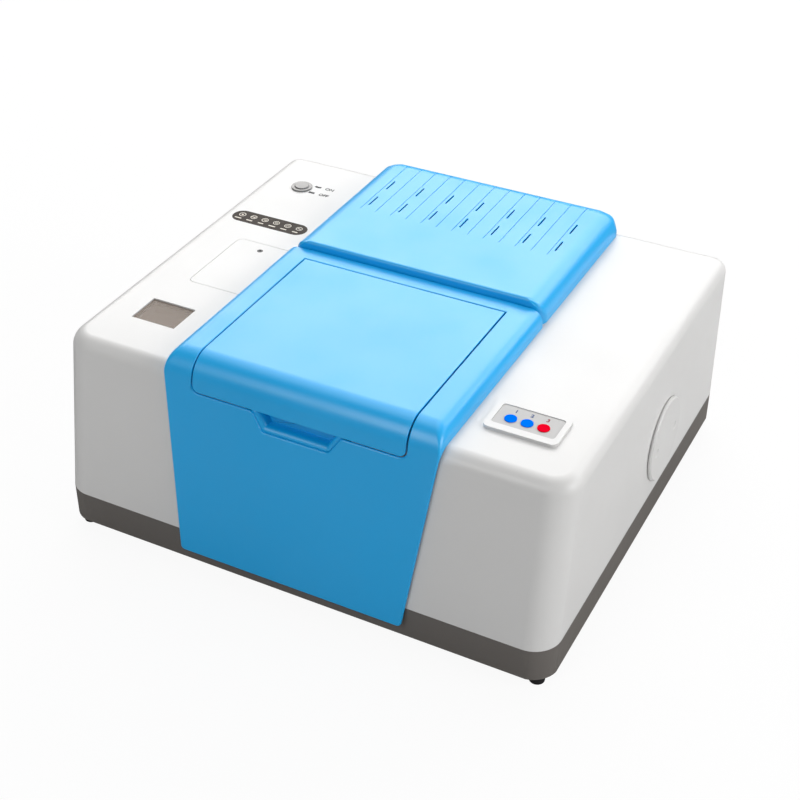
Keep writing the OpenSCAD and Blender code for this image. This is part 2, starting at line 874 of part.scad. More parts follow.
groove_shift = 1;
module vent_cover() {
    color([0.3, 0.65, 0.95])
        at_body()
            difference() {
                vent_form();
                vent_form(vent_wall);
                cover_form();
                intersection() {
                    difference() {
                        translate([0, 0, over]) vent_form();
                        vent_form(groove_depth);
                    }
                    for (i = [0:groove_count - 1])
                        translate([groove_x(i) - groove_w / 2, vent_front + groove_start, seam_z])
                            cube([groove_w, body_d, body_d]);
                }
                for (i = [0:2:groove_count - 1])
                    for (row = [0, 1])
                        translate([
                            groove_x(i) + slot_offset,
                            vent_front + groove_start + slot_l + row * slot_row_pitch,
                            vent_z - 2 * vent_wall,
                        ])
                            slab(slot_w, slot_l, 4 * vent_wall, slot_w / 2 - 0.05);
            }
}
function groove_x(i) = vent_shift - groove_shift + (i - (groove_count - 1) / 2) * groove_pitch;

module compartment_tub() {
    inner_w = tub_w - 2 * tub_wall;
    inner_d = tub_d - 2 * tub_wall;
    color([0.2, 0.2, 0.22])
        at_body()
            difference() {
                translate([0, tub_y, deck_z])
                    difference() {
                        block(tub_w, tub_d, rim_z - deck_z);
                        translate([0, 0, tub_wall]) block(inner_w, inner_d, rim_z);
                    }
                beam_bores(beam_d, beam_window_d);
            }
    color([0.2, 0.2, 0.22])
        at_body()
            both_sides()
                translate([catch_x, catch_y, rim_z - catch_h - catch_floor])
                    difference() {
                        block(catch_shelf, catch_shelf, catch_h + catch_floor);
                        translate([0, 0, catch_floor]) cylinder(d = catch_d, h = catch_h + over);
                    }
}

window_seat = 1.5;
module beam_bores(clear_d, seat_d) {
    translate([-tub_w, beam_y, beam_z]) rotate([0, 90, 0]) cylinder(d = clear_d, h = 2 * tub_w);
    both_sides()
        translate([tub_w / 2 - window_seat, beam_y, beam_z])
            rotate([0, 90, 0]) cylinder(d = seat_d, h = tub_w);
}

module beam_windows() {
    color([0.8, 0.9, 0.9])
        at_body()
            both_sides()
                translate([tub_w / 2 - window_seat, beam_y, beam_z])
                    rotate([0, 90, 0]) cylinder(d = beam_window_d, h = beam_window_t);
}

ring_lap = 4;
ring_flange_t = 2;
module window_rings() {
    depth = beam_window_t - window_seat;
    color("silver")
        at_body()
            both_sides()
                translate([tub_w / 2, beam_y, beam_z])
                    rotate([0, 90, 0])
                        difference() {
                            cylinder(d = beam_window_d + 2 * ring_lap, h = depth + ring_flange_t);
                            translate([0, 0, -over]) cylinder(d = beam_window_d, h = depth + over);
                            cylinder(d = beam_d, h = 2 * depth + 2 * ring_flange_t);
                        }
}

// The plate for accessories on the tub's floor, and the bracket that stands on it
tub_floor_z = deck_z + tub_wall;
plate_top_z = tub_floor_z + accessory_t;
plate_r = 3;
module accessory_plate() {
    color("silver")
        at_body()
            translate([0, beam_y, tub_floor_z])
                difference() {
                    slab(accessory_w, accessory_d, accessory_t, plate_r);
                    for (x = [-1, 1])
                        for (y = [-1, 1])
                            translate([x * hole_pitch_x / 2, y * hole_pitch_y / 2, -over])
                                cylinder(d = hole_d, h = accessory_t + 2 * over);
                }
}

// The holder stands in the grooves of two posts, with its window in the beam
holder_low_z = beam_z - holder_h / 2;
groove_grip = 3;
post_w = 9;
post_side = 4;
post_t = holder_t + 2 * post_side;
bracket_foot_side = 8;
bracket_foot_w = post_t + 2 * bracket_foot_side;
bracket_foot_t = 4;
module sample_bracket() {
    post_top = holder_low_z + holder_grip;
    post_in = holder_w / 2 + clearance - groove_grip;
    color([0.15, 0.15, 0.16])
        at_body()
            translate([0, beam_y, 0])
                difference() {
                    union() {
                        translate([0, 0, plate_top_z])
                            block(bracket_foot_w, 2 * (post_in + post_w), bracket_foot_t);
                        for (y = [-1, 1])
                            translate([0, y * (post_in + post_w / 2), plate_top_z])
                                block(post_t, post_w, post_top - plate_top_z);
                    }
                    translate([0, 0, holder_low_z - clearance])
                        block(holder_t + 2 * clearance, holder_w + 2 * clearance, holder_h);
                }
}

grip_w = 26;
grip_h = 12;
holder_hole_d = beam_d - 6;
module sample_holder() {
    color("silver")
        at_body()
            translate([0, beam_y, 0])
                difference() {
                    union() {
                        translate([0, 0, holder_low_z]) block(holder_t, holder_w, holder_h);
                        translate([0, 0, holder_low_z + holder_h]) block(holder_t, grip_w, grip_h);
                    }
                    translate([-holder_t, 0, beam_z])
                        rotate([0, 90, 0]) cylinder(d = holder_hole_d, h = 2 * holder_t);
                }
}

// The optical bench on its rubber mounts
left_bay = 8;
front_bay = 34;
bench_left = side_x(seam_z) - cover_wall - screw_post_w - left_bay;
bench_right = body_w / 2 - right_bay;
bench_front = -body_d / 2 + front_bay;
bench_rear = body_d / 2 - rear_bay;
mount_inset = 22;
module optical_bench() {
    color([0.75, 0.76, 0.78])
        at_body()
            translate([-bench_left, bench_front, bench_z])
                cube([bench_left + bench_right, bench_rear - bench_front, bench_t]);
}

module bench_mounts() {
    color([0.12, 0.12, 0.12])
        at_body()
            for (x = [-bench_left + mount_inset, bench_right - mount_inset])
                for (y = [bench_front + mount_inset, bench_rear - mount_inset])
                    translate([x, y, floor_z]) cylinder(d = mount_d, h = mount_h);
}

// The interferometer: the beam comes along X, is split on the diagonal and leaves towards the front
splitter_x = -body_w / 2 + splitter_in;
splitter_y = bench_rear - splitter_front;
block_h = beam_z - deck_z + block_w / 2;
module at_splitter() translate([splitter_x, splitter_y, beam_z]) children();
module splitter_disc(d, t) rotate([90, 0, 45]) translate([0, 0, -t / 2]) cylinder(d = d, h = t);

module interferometer_block() {
    color([0.5, 0.5, 0.53])
        at_body()
            difference() {
                translate([splitter_x, splitter_y, deck_z]) block(block_w, block_w, block_h);
                at_splitter() {
                    rotate([0, 90, 0]) translate([0, 0, -block_w]) cylinder(d = beam_d, h = 2 * block_w);
                    rotate([90, 0, 0]) translate([0, 0, -block_w]) cylinder(d = beam_d, h = 2 * block_w);
                    splitter_disc(splitter_d, splitter_t);
                    rotate([0, 0, 45]) block(splitter_d, splitter_t, block_w);
                }
            }
}

module beam_splitter() {
    color([0.7, 0.85, 0.9])
        at_body()
            at_splitter() splitter_disc(splitter_d, splitter_t);
}

module fixed_mirror() {
    color("gainsboro")
        at_body()
            at_splitter()
                translate([block_w / 2, 0, 0]) rotate([0, 90, 0]) cylinder(d = mirror_d, h = mirror_t);
}

// The carriage slides on two rails between the block and the drive's magnet
carriage_y = splitter_y + block_w / 2 + scan_travel + clearance + mirror_t;
rail_in = mirror_d / 2 - 1;
carriage_w = 2 * (rail_in + rail_d);
magnet_room = 2;
magnet_y = carriage_y + carriage_l + scan_travel + clearance + magnet_room;
magnet_l = 14;
magnet_back = 3;
magnet_cap = 4;
coil_wall = 1.5;
coil_gap = 0.5;
coil_d = magnet_d - 2 * coil_gap;
coil_bore = coil_d - 2 * coil_wall;
coil_l = clearance + magnet_room + magnet_l - magnet_back - coil_gap;
module rail_pair(d, length)
    for (x = [-rail_in, rail_in])
        translate([x, 0, -rail_in]) rotate([-90, 0, 0]) cylinder(d = d, h = length);

module mirror_carriage() {
    color([0.3, 0.3, 0.33])
        at_body()
            translate([splitter_x, carriage_y, beam_z])
                difference() {
                    translate([0, 0, -carriage_w / 2]) block_on_y(carriage_w, carriage_l, carriage_w);
                    translate([0, -over, 0]) rail_pair(rail_d + 2 * fit, carriage_l + 2 * over);
                }
}
module block_on_y(w, l, h) translate([-w / 2, 0, 0]) cube([w, l, h]);

module moving_mirror() {
    color("gainsboro")
        at_body()
            translate([splitter_x, carriage_y - mirror_t, beam_z])
                rotate([-90, 0, 0]) cylinder(d = mirror_d, h = mirror_t);
}

module carriage_rails() {
    start = splitter_y + block_w / 2;
    color("silver")
        at_body()
            translate([splitter_x, start, beam_z]) rail_pair(rail_d, magnet_y - start);
}

module drive_magnet() {
    high = beam_z + magnet_d / 2 + magnet_cap;
    color([0.4, 0.4, 0.42])
        at_body()
            translate([splitter_x, magnet_y, 0])
                difference() {
                    translate([0, 0, deck_z]) block_on_y(carriage_w, magnet_l, high - deck_z);
                    translate([0, -over, beam_z])
                        rotate([-90, 0, 0])
                            tube(magnet_d, coil_bore - 2 * coil_gap, magnet_l - magnet_back + over);
                }
}

module drive_coil() {
    start = carriage_y + carriage_l;
    color([0.75, 0.45, 0.2])
        at_body()
            translate([splitter_x, start, beam_z])
                rotate([-90, 0, 0]) tube(coil_d, coil_bore, coil_l);
}

// The source under the hatch, and the curved mirrors on their posts
source_reach = 62;
source_gap = 40;
source_w = 44;
source_l = 56;
source_back = 10;
source_x = splitter_x - source_reach;
source_front = splitter_y - source_gap - source_l;
housing_cap = 24;
source_h = beam_z - deck_z + housing_cap;
source_bore_d = 24;
fin_gap = 4;
fin_pitch = 10;
fin_depth = 6;
module source_housing() {
    color([0.35, 0.35, 0.37])
        at_body()
            difference() {
                translate([source_x, source_front, deck_z]) block_on_y(source_w, source_l, source_h);
                translate([source_x, source_front + source_back, beam_z])
                    rotate([-90, 0, 0]) cylinder(d = source_bore_d, h = source_l);
                for (y = [source_front + fin_pitch:fin_pitch:source_front + source_l - fin_pitch])
                    translate([source_x, y, deck_z + source_h - fin_depth])
                        block_on_y(source_w + 2 * over, fin_gap, fin_depth + over);
            }
}

element_base = 6;
element_d = 6;
element_l = 26;
module source_element() {
    color([0.9, 0.85, 0.75])
        at_body()
            translate([source_x, source_front + source_back, beam_z]) {
                rotate([-90, 0, 0]) cylinder(d = source_bore_d, h = element_base);
                rotate([-90, 0, 0]) cylinder(d = element_d, h = element_l);
            }
}

curved_mirror_back = 4;
post_d = 14;
post_cap = 10;
module turned_mirror(x, y, turn, bore = 0)
    translate([x, y, beam_z])
        rotate([90, 0, turn])
            difference() {
                translate([0, 0, -curved_mirror_t]) cylinder(d = curved_mirror_d, h = curved_mirror_t);
                translate([0, 0, curved_mirror_d]) sphere(r = curved_mirror_d + 1);
                if (bore > 0)
                    translate([0, 0, -curved_mirror_t - over]) cylinder(d = bore, h = 2 * curved_mirror_t);
            }

module mirror_post(x, y, turn)
    translate([x, y, 0]) {
        rotate([0, 0, turn])
            translate([0, curved_mirror_t + post_d / 2, deck_z])
                cylinder(d = post_d, h = beam_z - deck_z + post_cap);
        translate([0, 0, beam_z])
            rotate([90, 0, turn])
                translate([0, 0, -curved_mirror_t - curved_mirror_back])
                    cylinder(d = curved_mirror_d, h = curved_mirror_back);
    }

source_turn = 45;
focus_left_turn = 135;
focus_right_turn = 225;
laser_bore_d = 5;
detector_reach = 32;
detector_mirror_x = tub_w / 2 + detector_reach;
module collimating_mirror() {
    color("gainsboro") at_body() turned_mirror(source_x, splitter_y, source_turn, laser_bore_d);
}

module focusing_mirrors() {
    color("gainsboro")
        at_body() {
            turned_mirror(splitter_x, beam_y, focus_left_turn);
            turned_mirror(detector_mirror_x, beam_y, focus_right_turn);
        }
}

module mirror_posts() {
    color([0.3, 0.3, 0.33])
        at_body() {
            mirror_post(source_x, splitter_y, source_turn);
            mirror_post(splitter_x, beam_y, focus_left_turn);
            mirror_post(detector_mirror_x, beam_y, focus_right_turn);
        }
}

detector_w = 44;
detector_l = 52;
detector_gap = 44;
detector_front = beam_y + detector_gap;
detector_bore_d = 24;
detector_bore_l = 11;
chip_can_d = 12;
chip_can_l = 9;
module detector_module() {
    color([0.75, 0.7, 0.4])
        at_body() {
            difference() {
                translate([detector_mirror_x, detector_front, deck_z])
                    block_on_y(detector_w, detector_l, beam_z - deck_z + housing_cap);
                translate([detector_mirror_x, detector_front - over, beam_z])
                    rotate([-90, 0, 0]) cylinder(d = detector_bore_d, h = detector_bore_l + over);
            }
            translate([detector_mirror_x, detector_front + detector_bore_l - chip_can_l, beam_z])
                rotate([-90, 0, 0]) cylinder(d = chip_can_d, h = chip_can_l + over);
        }
}

// The reference laser lies behind the interferometer in two clamps
laser_by = 64;
laser_room = 6;
laser_x = splitter_x + laser_by;
laser_y = bench_rear - laser_d / 2 - laser_room;
laser_z = deck_z + laser_d / 2 + laser_room;
clamp_w = 12;
clamp_wall = 4;
clamp_in = 20;
module laser_tube() {
    color([0.8, 0.8, 0.82])
        at_body()
            translate([laser_x, laser_y, laser_z]) rotate([0, 90, 0]) cylinder(d = laser_d, h = laser_l);
}

module laser_clamps() {
    color([0.2, 0.2, 0.22])
        at_body()
            for (x = [laser_x + clamp_in, laser_x + laser_l - clamp_in - clamp_w])
                difference() {
                    translate([x, laser_y - laser_d / 2 - clamp_wall, deck_z])
                        cube([clamp_w, laser_d + 2 * clamp_wall, laser_d + laser_room + clamp_wall]);
                    translate([x - over, laser_y, laser_z])
                        rotate([0, 90, 0]) cylinder(d = laser_d, h = clamp_w + 2 * over);
                }
}

// Electronics on the base behind the bench
board_w = 230;
board_d = 72;
board_t = 1.6;
board_in = 150;
electronics_in = 54;
board_x = -body_w / 2 + board_in;
board_y = body_d / 2 - electronics_in;
standoff_h = 10;
standoff_d = 6;
standoff_in = 5;
chip_w = 34;
chip_h = 3;
small_chip_w = 26;
capacitor_d = 9;
capacitor_h = 14;
capacitor_pitch = 12;
socket_w = 10;
socket_l = 50;
socket_h = 9;
module at_standoffs()
    for (x = [-1, 1])
        for (y = [-1, 1])
            translate([
                board_x + x * (board_w / 2 - standoff_in), board_y + y * (board_d / 2 - standoff_in), 0,
            ])
                children();

module main_board() {
    color([0.1, 0.45, 0.25])
        at_body()
            translate([board_x, board_y, floor_z + standoff_h]) {
                block(board_w, board_d, board_t);
                translate([0, 0, board_t]) {
                    translate([-board_w / 5, 0, 0]) block(chip_w, chip_w, chip_h);
                    translate([board_w / 12, board_d / 8, 0]) block(small_chip_w, small_chip_w, chip_h);
                    translate([-board_w * 0.4, 0, 0]) block(socket_w, socket_l, socket_h);
                    for (i = [0:3])
                        translate([board_w / 4 + i * capacitor_pitch, -board_d / 4, 0])
                            cylinder(d = capacitor_d, h = capacitor_h);
                }
            }
}

module board_standoffs() {
    color("gold")
        at_body()
            at_standoffs() translate([0, 0, floor_z]) cylinder(d = standoff_d, h = standoff_h);
}

supply_w = 150;
supply_d = 70;
supply_h = 42;
supply_in = 112;
module power_supply() {
    color([0.7, 0.72, 0.74])
        at_body()
            translate([body_w / 2 - supply_in, board_y, floor_z]) block(supply_w, supply_d, supply_h);
}

// The rear panel inside the cover's rear wall, with its power inlet and data port
rear_panel_t = 2;
inlet_w = 48;
inlet_h = 28;
inlet_x = 24;
inlet_depth = 24;
inlet_flange = 2;
inlet_wall = 4;
inlet_side = 10;
socket_clear_w = inlet_w - 2 * inlet_side;
socket_clear_h = inlet_h - 2 * inlet_wall;
socket_depth = 11;
contact_l = 9;
contact_pitch = 7;
contact_row = 2;
data_w = 13;
data_h = 12;
data_x = -38;
data_depth = 14;
data_wall = 1.5;
data_flange = 1;
data_socket_depth = 8;
module at_inlet() at_rear() translate([inlet_x, 0, -cover_wall]) children();
module at_data() at_rear() translate([data_x, 0, -cover_wall]) children();
module rear_panel() {
    color([0.2, 0.2, 0.22])
        at_body()
            difference() {
                at_rear()
                    translate([0, 0, -cover_wall - rear_panel_t])
                        slab(rear_panel_w, rear_panel_h, rear_panel_t, rear_panel_r);
                at_inlet() translate([0, 0, -2 * rear_panel_t]) slab(inlet_w, inlet_h, 3 * rear_panel_t, 2);
                at_data() translate([0, 0, -2 * rear_panel_t]) slab(data_w, data_h, 3 * rear_panel_t, 1);
            }
}

module power_inlet() {
    color([0.08, 0.08, 0.08])
        at_body()
            at_inlet()
                difference() {
                    union() {
                        translate([0, 0, -inlet_depth]) slab(inlet_w, inlet_h, inlet_depth, 2);
                        slab(inlet_w + 2 * inlet_wall, inlet_h + 1.5 * inlet_wall, inlet_flange, 3);
                    }
                    translate([0, 0, -socket_depth])
                        slab(socket_clear_w, socket_clear_h, socket_depth + inlet_flange + over, 3);
                }
    color([0.8, 0.75, 0.5])
        at_body()
            at_inlet()
                for (i = [-1:1])
                    translate([i * contact_pitch, i == 0 ? -contact_row : contact_row, -socket_depth])
                        block(2, 4, contact_l);
}

module data_port() {
    color("silver")
        at_body()
            at_data()
                difference() {
                    union() {
                        translate([0, 0, -data_depth]) slab(data_w, data_h, data_depth, 1);
                        slab(data_w + 4, data_h + 4, data_flange, 1);
                    }
                    translate([0, 0, -data_socket_depth])
                        slab(
                            data_w - 2 * data_wall, data_h - 2 * data_wall,
                            data_socket_depth + data_flange + over, 1
                        );
                }
}

// The side port: a sleeve in the wall, the cartridge in it and the cap over it
sleeve_bore = cartridge_d + 1;
sleeve_room = 14;
sleeve_l = cartridge_l + sleeve_room;
sleeve_floor = 3;
sleeve_flange = 7;
cap_gap = 0.6;
plug_l = 8;
plug_wall = 4;
dimple_depth = 2;
seal_mid = (port_bore_d + cap_d) / 2 - 1;
seal_w = 2.4;
seal_t = 1.56;
module port_sleeve() {
    color([0.3, 0.3, 0.32])
        at_body()
            at_port()
                difference() {
                    union() {
                        translate([0, 0, -sleeve_l - sleeve_floor])
                            cylinder(d = port_bore_d, h = sleeve_l + sleeve_floor);
                        translate([0, 0, -cover_wall - sleeve_floor])
                            cylinder(d = port_bore_d + 2 * sleeve_flange, h = sleeve_floor);
                    }
                    translate([0, 0, -sleeve_l]) cylinder(d = sleeve_bore, h = sleeve_l + over);
                }
}

module port_cap() {
    disc_t = cap_proud - cap_gap;
    color([0.9, 0.9, 0.9])
        at_body()
            at_port()
                difference() {
                    union() {
                        translate([0, 0, cap_gap]) {
                            cylinder(d = cap_d, h = disc_t - cap_chamfer);
                            translate([0, 0, disc_t - cap_chamfer])
                                cylinder(d1 = cap_d, d2 = cap_d - 2 * cap_chamfer, h = cap_chamfer);
                        }
                        translate([0, 0, -plug_l])
                            cylinder(d = sleeve_bore - 2 * fit, h = plug_l + cap_gap + over);
                    }
                    translate([0, 0, -plug_l - over])
                        cylinder(d = sleeve_bore - 2 * plug_wall, h = plug_l + over);
                    translate([0, 0, cap_gap - over])
                        tube(seal_mid + seal_w, seal_mid - seal_w, seal_w / 2 + over);
                    for (y = [-1, 1])
                        translate([0, y * dimple_pitch / 2, cap_proud + dimple_d / 2 - dimple_depth])
                            sphere(d = dimple_d);
                }
}

module port_seal() {
    color([0.1, 0.1, 0.1])
        at_body()
            at_port()
                translate([0, 0, cap_gap + seal_w / 2 - seal_t])
                    tube(seal_mid + seal_w, seal_mid - seal_w, seal_t);
}

cartridge_knob_d = 20;
cartridge_knob_h = 4;
module desiccant_cartridge() {
    color([0.85, 0.6, 0.2])
        at_body()
            at_port()
                translate([0, 0, -sleeve_l]) {
                    cylinder(d = cartridge_d, h = cartridge_l);
                    translate([0, 0, cartridge_l]) cylinder(d = cartridge_knob_d, h = cartridge_knob_h);
                }
}

// The hatch over the source, let into the white top and held by one screw
hatch_t = 2.5;
hatch_ledge = 3;
hatch_rim = 6;
hatch_z = top_z - hatch_t;
module at_hatch() translate([hatch_x, hatch_y, hatch_z]) children();

hatch_screw_d = 3;
hatch_head_d = 6;
hatch_head_h = 1.5;
module access_hatch() {
    color("white")
        at_body()
            difference() {
                at_hatch()
                    slab(
                        hatch_w - 2 * hatch_gap, hatch_l - 2 * hatch_gap,
                        hatch_t, hatch_corner_r - hatch_gap
                    );
                translate([hatch_x, hatch_screw_y, 0]) {
                    cylinder(d = hatch_screw_d, h = top_z + over);
                    translate([0, 0, top_z - hatch_head_h])
                        cylinder(d = hatch_head_d, h = hatch_head_h + over);
                }
            }
}

module hatch_screw() {
    color([0.3, 0.3, 0.3])
        at_body()
            translate([hatch_x, hatch_screw_y, top_z])
                mirror([0, 0, 1])
                    screw(hatch_screw_d, hatch_head_d, hatch_head_h, hatch_t + hatch_ledge - hatch_head_h);
}

// The window: a pane let into the top, held by a bezel under it
window_r = 0.6;
bezel_w = 3;
bezel_r = 4;
bezel_lip = 2;
bezel_h = 3.5;
pane_t = 3;
pane_low_z = top_z - window_well - pane_t;
module window_bezel() {
    color("white")
        at_body()
            translate([window_x, window_y, top_z - cover_wall - bezel_h])
                difference() {
                    slab(window_w + 2 * bezel_w, window_d + 2 * bezel_w, bezel_h, bezel_r);
                    translate([0, 0, pane_low_z - top_z + cover_wall + bezel_h])
                        slab(window_w, window_d, bezel_h, window_r);
                    translate([0, 0, -over])
                        slab(
                            window_w - 2 * bezel_lip, window_d - 2 * bezel_lip,
                            bezel_h + 2 * over, window_r
                        );
                }
}

module view_window() {
    color([0.6, 0.55, 0.5])
        at_body()
            translate([window_x, window_y, pane_low_z])
                slab(window_w - 2 * fit, window_d - 2 * fit, pane_t, window_r - fit);
}

strip_t = 1.5;
strip_r = strip_w / 2 - 0.1;
module indicator_strip() {
    color([0.33, 0.29, 0.25])
        at_body()
            translate([strip_x, strip_y, top_z - strip_t]) slab(strip_l, strip_w, strip_t, strip_r);
}

// The power switch
switch_bore_d = 19;
switch_lip_h = 1.6;
switch_depth = 20;
switch_body_l = 18;
button_rise = 2.6;
button_edge = 0.5;
button_top_d = power_button_d - 2 * button_edge;
module at_switch() translate([switch_x, switch_y, top_z]) children();
module switch_ring() {
    color("silver")
        at_body()
            at_switch()
                difference() {
                    union() {
                        cylinder(d = switch_ring_d, h = switch_lip_h);
                        translate([0, 0, -switch_depth / 2])
                            cylinder(d = switch_bore_d, h = switch_depth / 2);
                    }
                    translate([0, 0, -switch_depth])
                        cylinder(d = power_button_d + 2 * fit, h = 2 * switch_depth);
                }
}

module switch_body() {
    color([0.1, 0.1, 0.1])
        at_body()
            at_switch()
                translate([0, 0, -switch_depth / 2 - switch_body_l])
                    cylinder(d = switch_bore_d, h = switch_body_l);
}

module power_button() {
    low = -switch_depth / 2 + power_travel + clearance;
    color([0.8, 0.8, 0.82])
        at_body()
            at_switch()
                translate([0, 0, low]) {
                    cylinder(d = power_button_d, h = button_rise - low - button_edge);
                    translate([0, 0, button_rise - low - button_edge])
                        cylinder(d1 = power_button_d, d2 = button_top_d, h = button_edge);
                }
}

// The keypad: a raised frame, its membrane and three keys over a board
membrane_shift = 1.2;
membrane_t = 1;
membrane_sunk = 0.6;
membrane_r = 3;
membrane_gap = 0.1;
membrane_top = keypad_h - membrane_sunk;
cable_slot_w = 50;
cable_slot_d = 16;
cable_slot_r = 2;
key_rise = 0.8;
key_back = -3.5;
keypad_r = 6;
key_bore_depth = 2.2;
key_floor = membrane_top - membrane_t - key_bore_depth;
key_board_t = 1.6;
key_board_lap = 4;
module at_keypad() translate([keypad_x, keypad_y + membrane_shift, top_z]) children();
module at_key(i) at_keypad() translate([i * key_pitch, key_back, 0]) children();
module keypad_frame() {
    color("white")
        at_body()
            difference() {
                translate([keypad_x, keypad_y, top_z]) slab(keypad_w, keypad_d, keypad_h, keypad_r);
                at_keypad() {
                    translate([0, 0, membrane_top - membrane_t])
                        slab(membrane_w, membrane_d, membrane_t + over, membrane_r);
                    translate([0, key_back, -over]) slab(cable_slot_w, cable_slot_d, keypad_h, cable_slot_r);
                }
            }
}

module keypad_membrane() {
    color([0.8, 0.8, 0.79])
        at_body()
            difference() {
                at_keypad()
                    translate([0, 0, membrane_top - membrane_t])
                        slab(
                            membrane_w - 2 * membrane_gap, membrane_d - 2 * membrane_gap,
                            membrane_t, membrane_r
                        );
                for (i = [-1:1]) at_key(i) cylinder(d = key_d + 2 * fit, h = 2 * keypad_h);
            }
}

module key(i, tint) {
    low = key_floor + key_travel + clearance;
    color(tint)
        at_body()
            at_key(i) translate([0, 0, low]) cylinder(d = key_d, h = membrane_top + key_rise - low);
}
module key_left() { key(-1, [0.04, 0.43, 0.92]); }
module key_middle() { key(0, [0.04, 0.43, 0.92]); }
module key_right() { key(1, [0.88, 0.1, 0.18]); }

module key_board() {
    low = -cover_wall - key_board_t;
    color([0.1, 0.45, 0.25])
        at_body()
            at_keypad()
                translate([0, key_back, low]) {
                    slab(
                        cable_slot_w + 2 * key_board_lap, cable_slot_d + 2 * key_board_lap,
                        key_board_t, cable_slot_r
                    );
                    slab(cable_slot_w - 1, cable_slot_d - 1, key_floor - low, cable_slot_r);
                }
}

base_pan();
feet();
foot_screws();
cover_screws();
housing_cover();
sample_shroud();
sample_lid();
lid_hinge_pins();
lid_seal();
catch_magnets();
catch_plates();
vent_cover();
compartment_tub();
beam_windows();
window_rings();
accessory_plate();
sample_bracket();
sample_holder();
optical_bench();
bench_mounts();
interferometer_block();
beam_splitter();
fixed_mirror();
mirror_carriage();
moving_mirror();
carriage_rails();
drive_magnet();
drive_coil();
source_housing();
source_element();
collimating_mirror();
focusing_mirrors();
mirror_posts();
detector_module();
laser_tube();
laser_clamps();
main_board();
board_standoffs();
power_supply();
rear_panel();
power_inlet();
data_port();
port_sleeve();
port_cap();
port_seal();
desiccant_cartridge();
access_hatch();
hatch_screw();
window_bezel();
view_window();
indicator_strip();
switch_ring();
switch_body();
power_button();
keypad_frame();
keypad_membrane();
key_board();
key_left();
key_middle();
key_right();
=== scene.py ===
"""The looks of a bench spectrometer for infrared light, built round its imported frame."""
import json
import math

import bmesh
import bpy
from mathutils import Matrix, Vector


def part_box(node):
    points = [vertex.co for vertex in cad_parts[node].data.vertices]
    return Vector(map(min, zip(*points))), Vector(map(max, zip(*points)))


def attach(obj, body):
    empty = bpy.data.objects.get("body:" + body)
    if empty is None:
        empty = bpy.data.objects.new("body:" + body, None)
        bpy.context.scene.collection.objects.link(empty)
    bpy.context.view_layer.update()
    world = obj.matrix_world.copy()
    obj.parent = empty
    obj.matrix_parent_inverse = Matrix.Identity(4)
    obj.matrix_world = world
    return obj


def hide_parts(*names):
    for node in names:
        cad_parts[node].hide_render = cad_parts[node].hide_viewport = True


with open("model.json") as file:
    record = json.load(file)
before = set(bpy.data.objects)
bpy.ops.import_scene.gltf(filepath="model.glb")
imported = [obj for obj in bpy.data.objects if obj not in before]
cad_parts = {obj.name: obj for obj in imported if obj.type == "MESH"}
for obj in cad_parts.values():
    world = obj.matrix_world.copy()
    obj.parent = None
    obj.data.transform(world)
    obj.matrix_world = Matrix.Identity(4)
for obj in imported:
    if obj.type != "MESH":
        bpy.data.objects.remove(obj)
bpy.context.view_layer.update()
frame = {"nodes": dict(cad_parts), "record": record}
nodes = frame["nodes"]
MM = 0.001

# Sizes of the body in millimetres, heights above the bench top, and its middle in plan
BODY_W, BODY_D = 500.0, 448.0
SEAM_Z, TOP_Z, CROWN_Z, VENT_Z = 44.0, 203.0, 221.5, 229.0
COVER_LOW, COVER_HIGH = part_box("housing_cover")
BODY_X = (COVER_LOW.x + COVER_HIGH.x) / 2 / MM
BODY_Y = (COVER_LOW.y + COVER_HIGH.y) / 2 / MM
FRONT_LEAN = math.radians(9.0)
SIDE_DRAFT, REAR_DRAFT = 0.0098, 0.0255
FRONT_CORNER_R, REAR_CORNER_R, TOP_EDGE_R = 26.0, 15.0, 13.0
COVER_WALL = 3.0


def side_x(z):
    """Half the cover's width at a height."""
    return BODY_W / 2 - (z - SEAM_Z) * SIDE_DRAFT


def front_y(z):
    """The cover's front wall at a height."""
    return -BODY_D / 2 + (z - SEAM_Z) * math.tan(FRONT_LEAN)


def rear_y(z):
    """The cover's rear wall at a height."""
    return BODY_D / 2 - (z - SEAM_Z) * REAR_DRAFT


# Node groups that several finishes share

def new_group(name, inputs, outputs):
    """An empty node group with float inputs and the named outputs."""
    group = bpy.data.node_groups.new(name, "ShaderNodeTree")
    for label, default in inputs:
        socket = group.interface.new_socket(label, in_out="INPUT", socket_type="NodeSocketFloat")
        socket.default_value = default
    for label in outputs:
        group.interface.new_socket(label, in_out="OUTPUT", socket_type="NodeSocketFloat")
    return group, group.nodes.new("NodeGroupInput"), group.nodes.new("NodeGroupOutput")


def noise_node(tree, scale, detail, roughness=0.5):
    """A noise texture whose scale is a number or another node's socket."""
    node = tree.nodes.new("ShaderNodeTexNoise")
    node.inputs["Detail"].default_value = detail
    node.inputs["Roughness"].default_value = roughness
    if isinstance(scale, (int, float)):
        node.inputs["Scale"].default_value = scale
    else:
        tree.links.new(scale, node.inputs["Scale"])
    return node


def range_node(tree, value, low, high, to_low=0.0, to_high=1.0):
    """Maps a value from one range to another, held within the second."""
    node = tree.nodes.new("ShaderNodeMapRange")
    tree.links.new(value, node.inputs["Value"])
    node.inputs["From Min"].default_value = low
    node.inputs["From Max"].default_value = high
    node.inputs["To Min"].default_value = to_low
    node.inputs["To Max"].default_value = to_high
    return node.outputs["Result"]


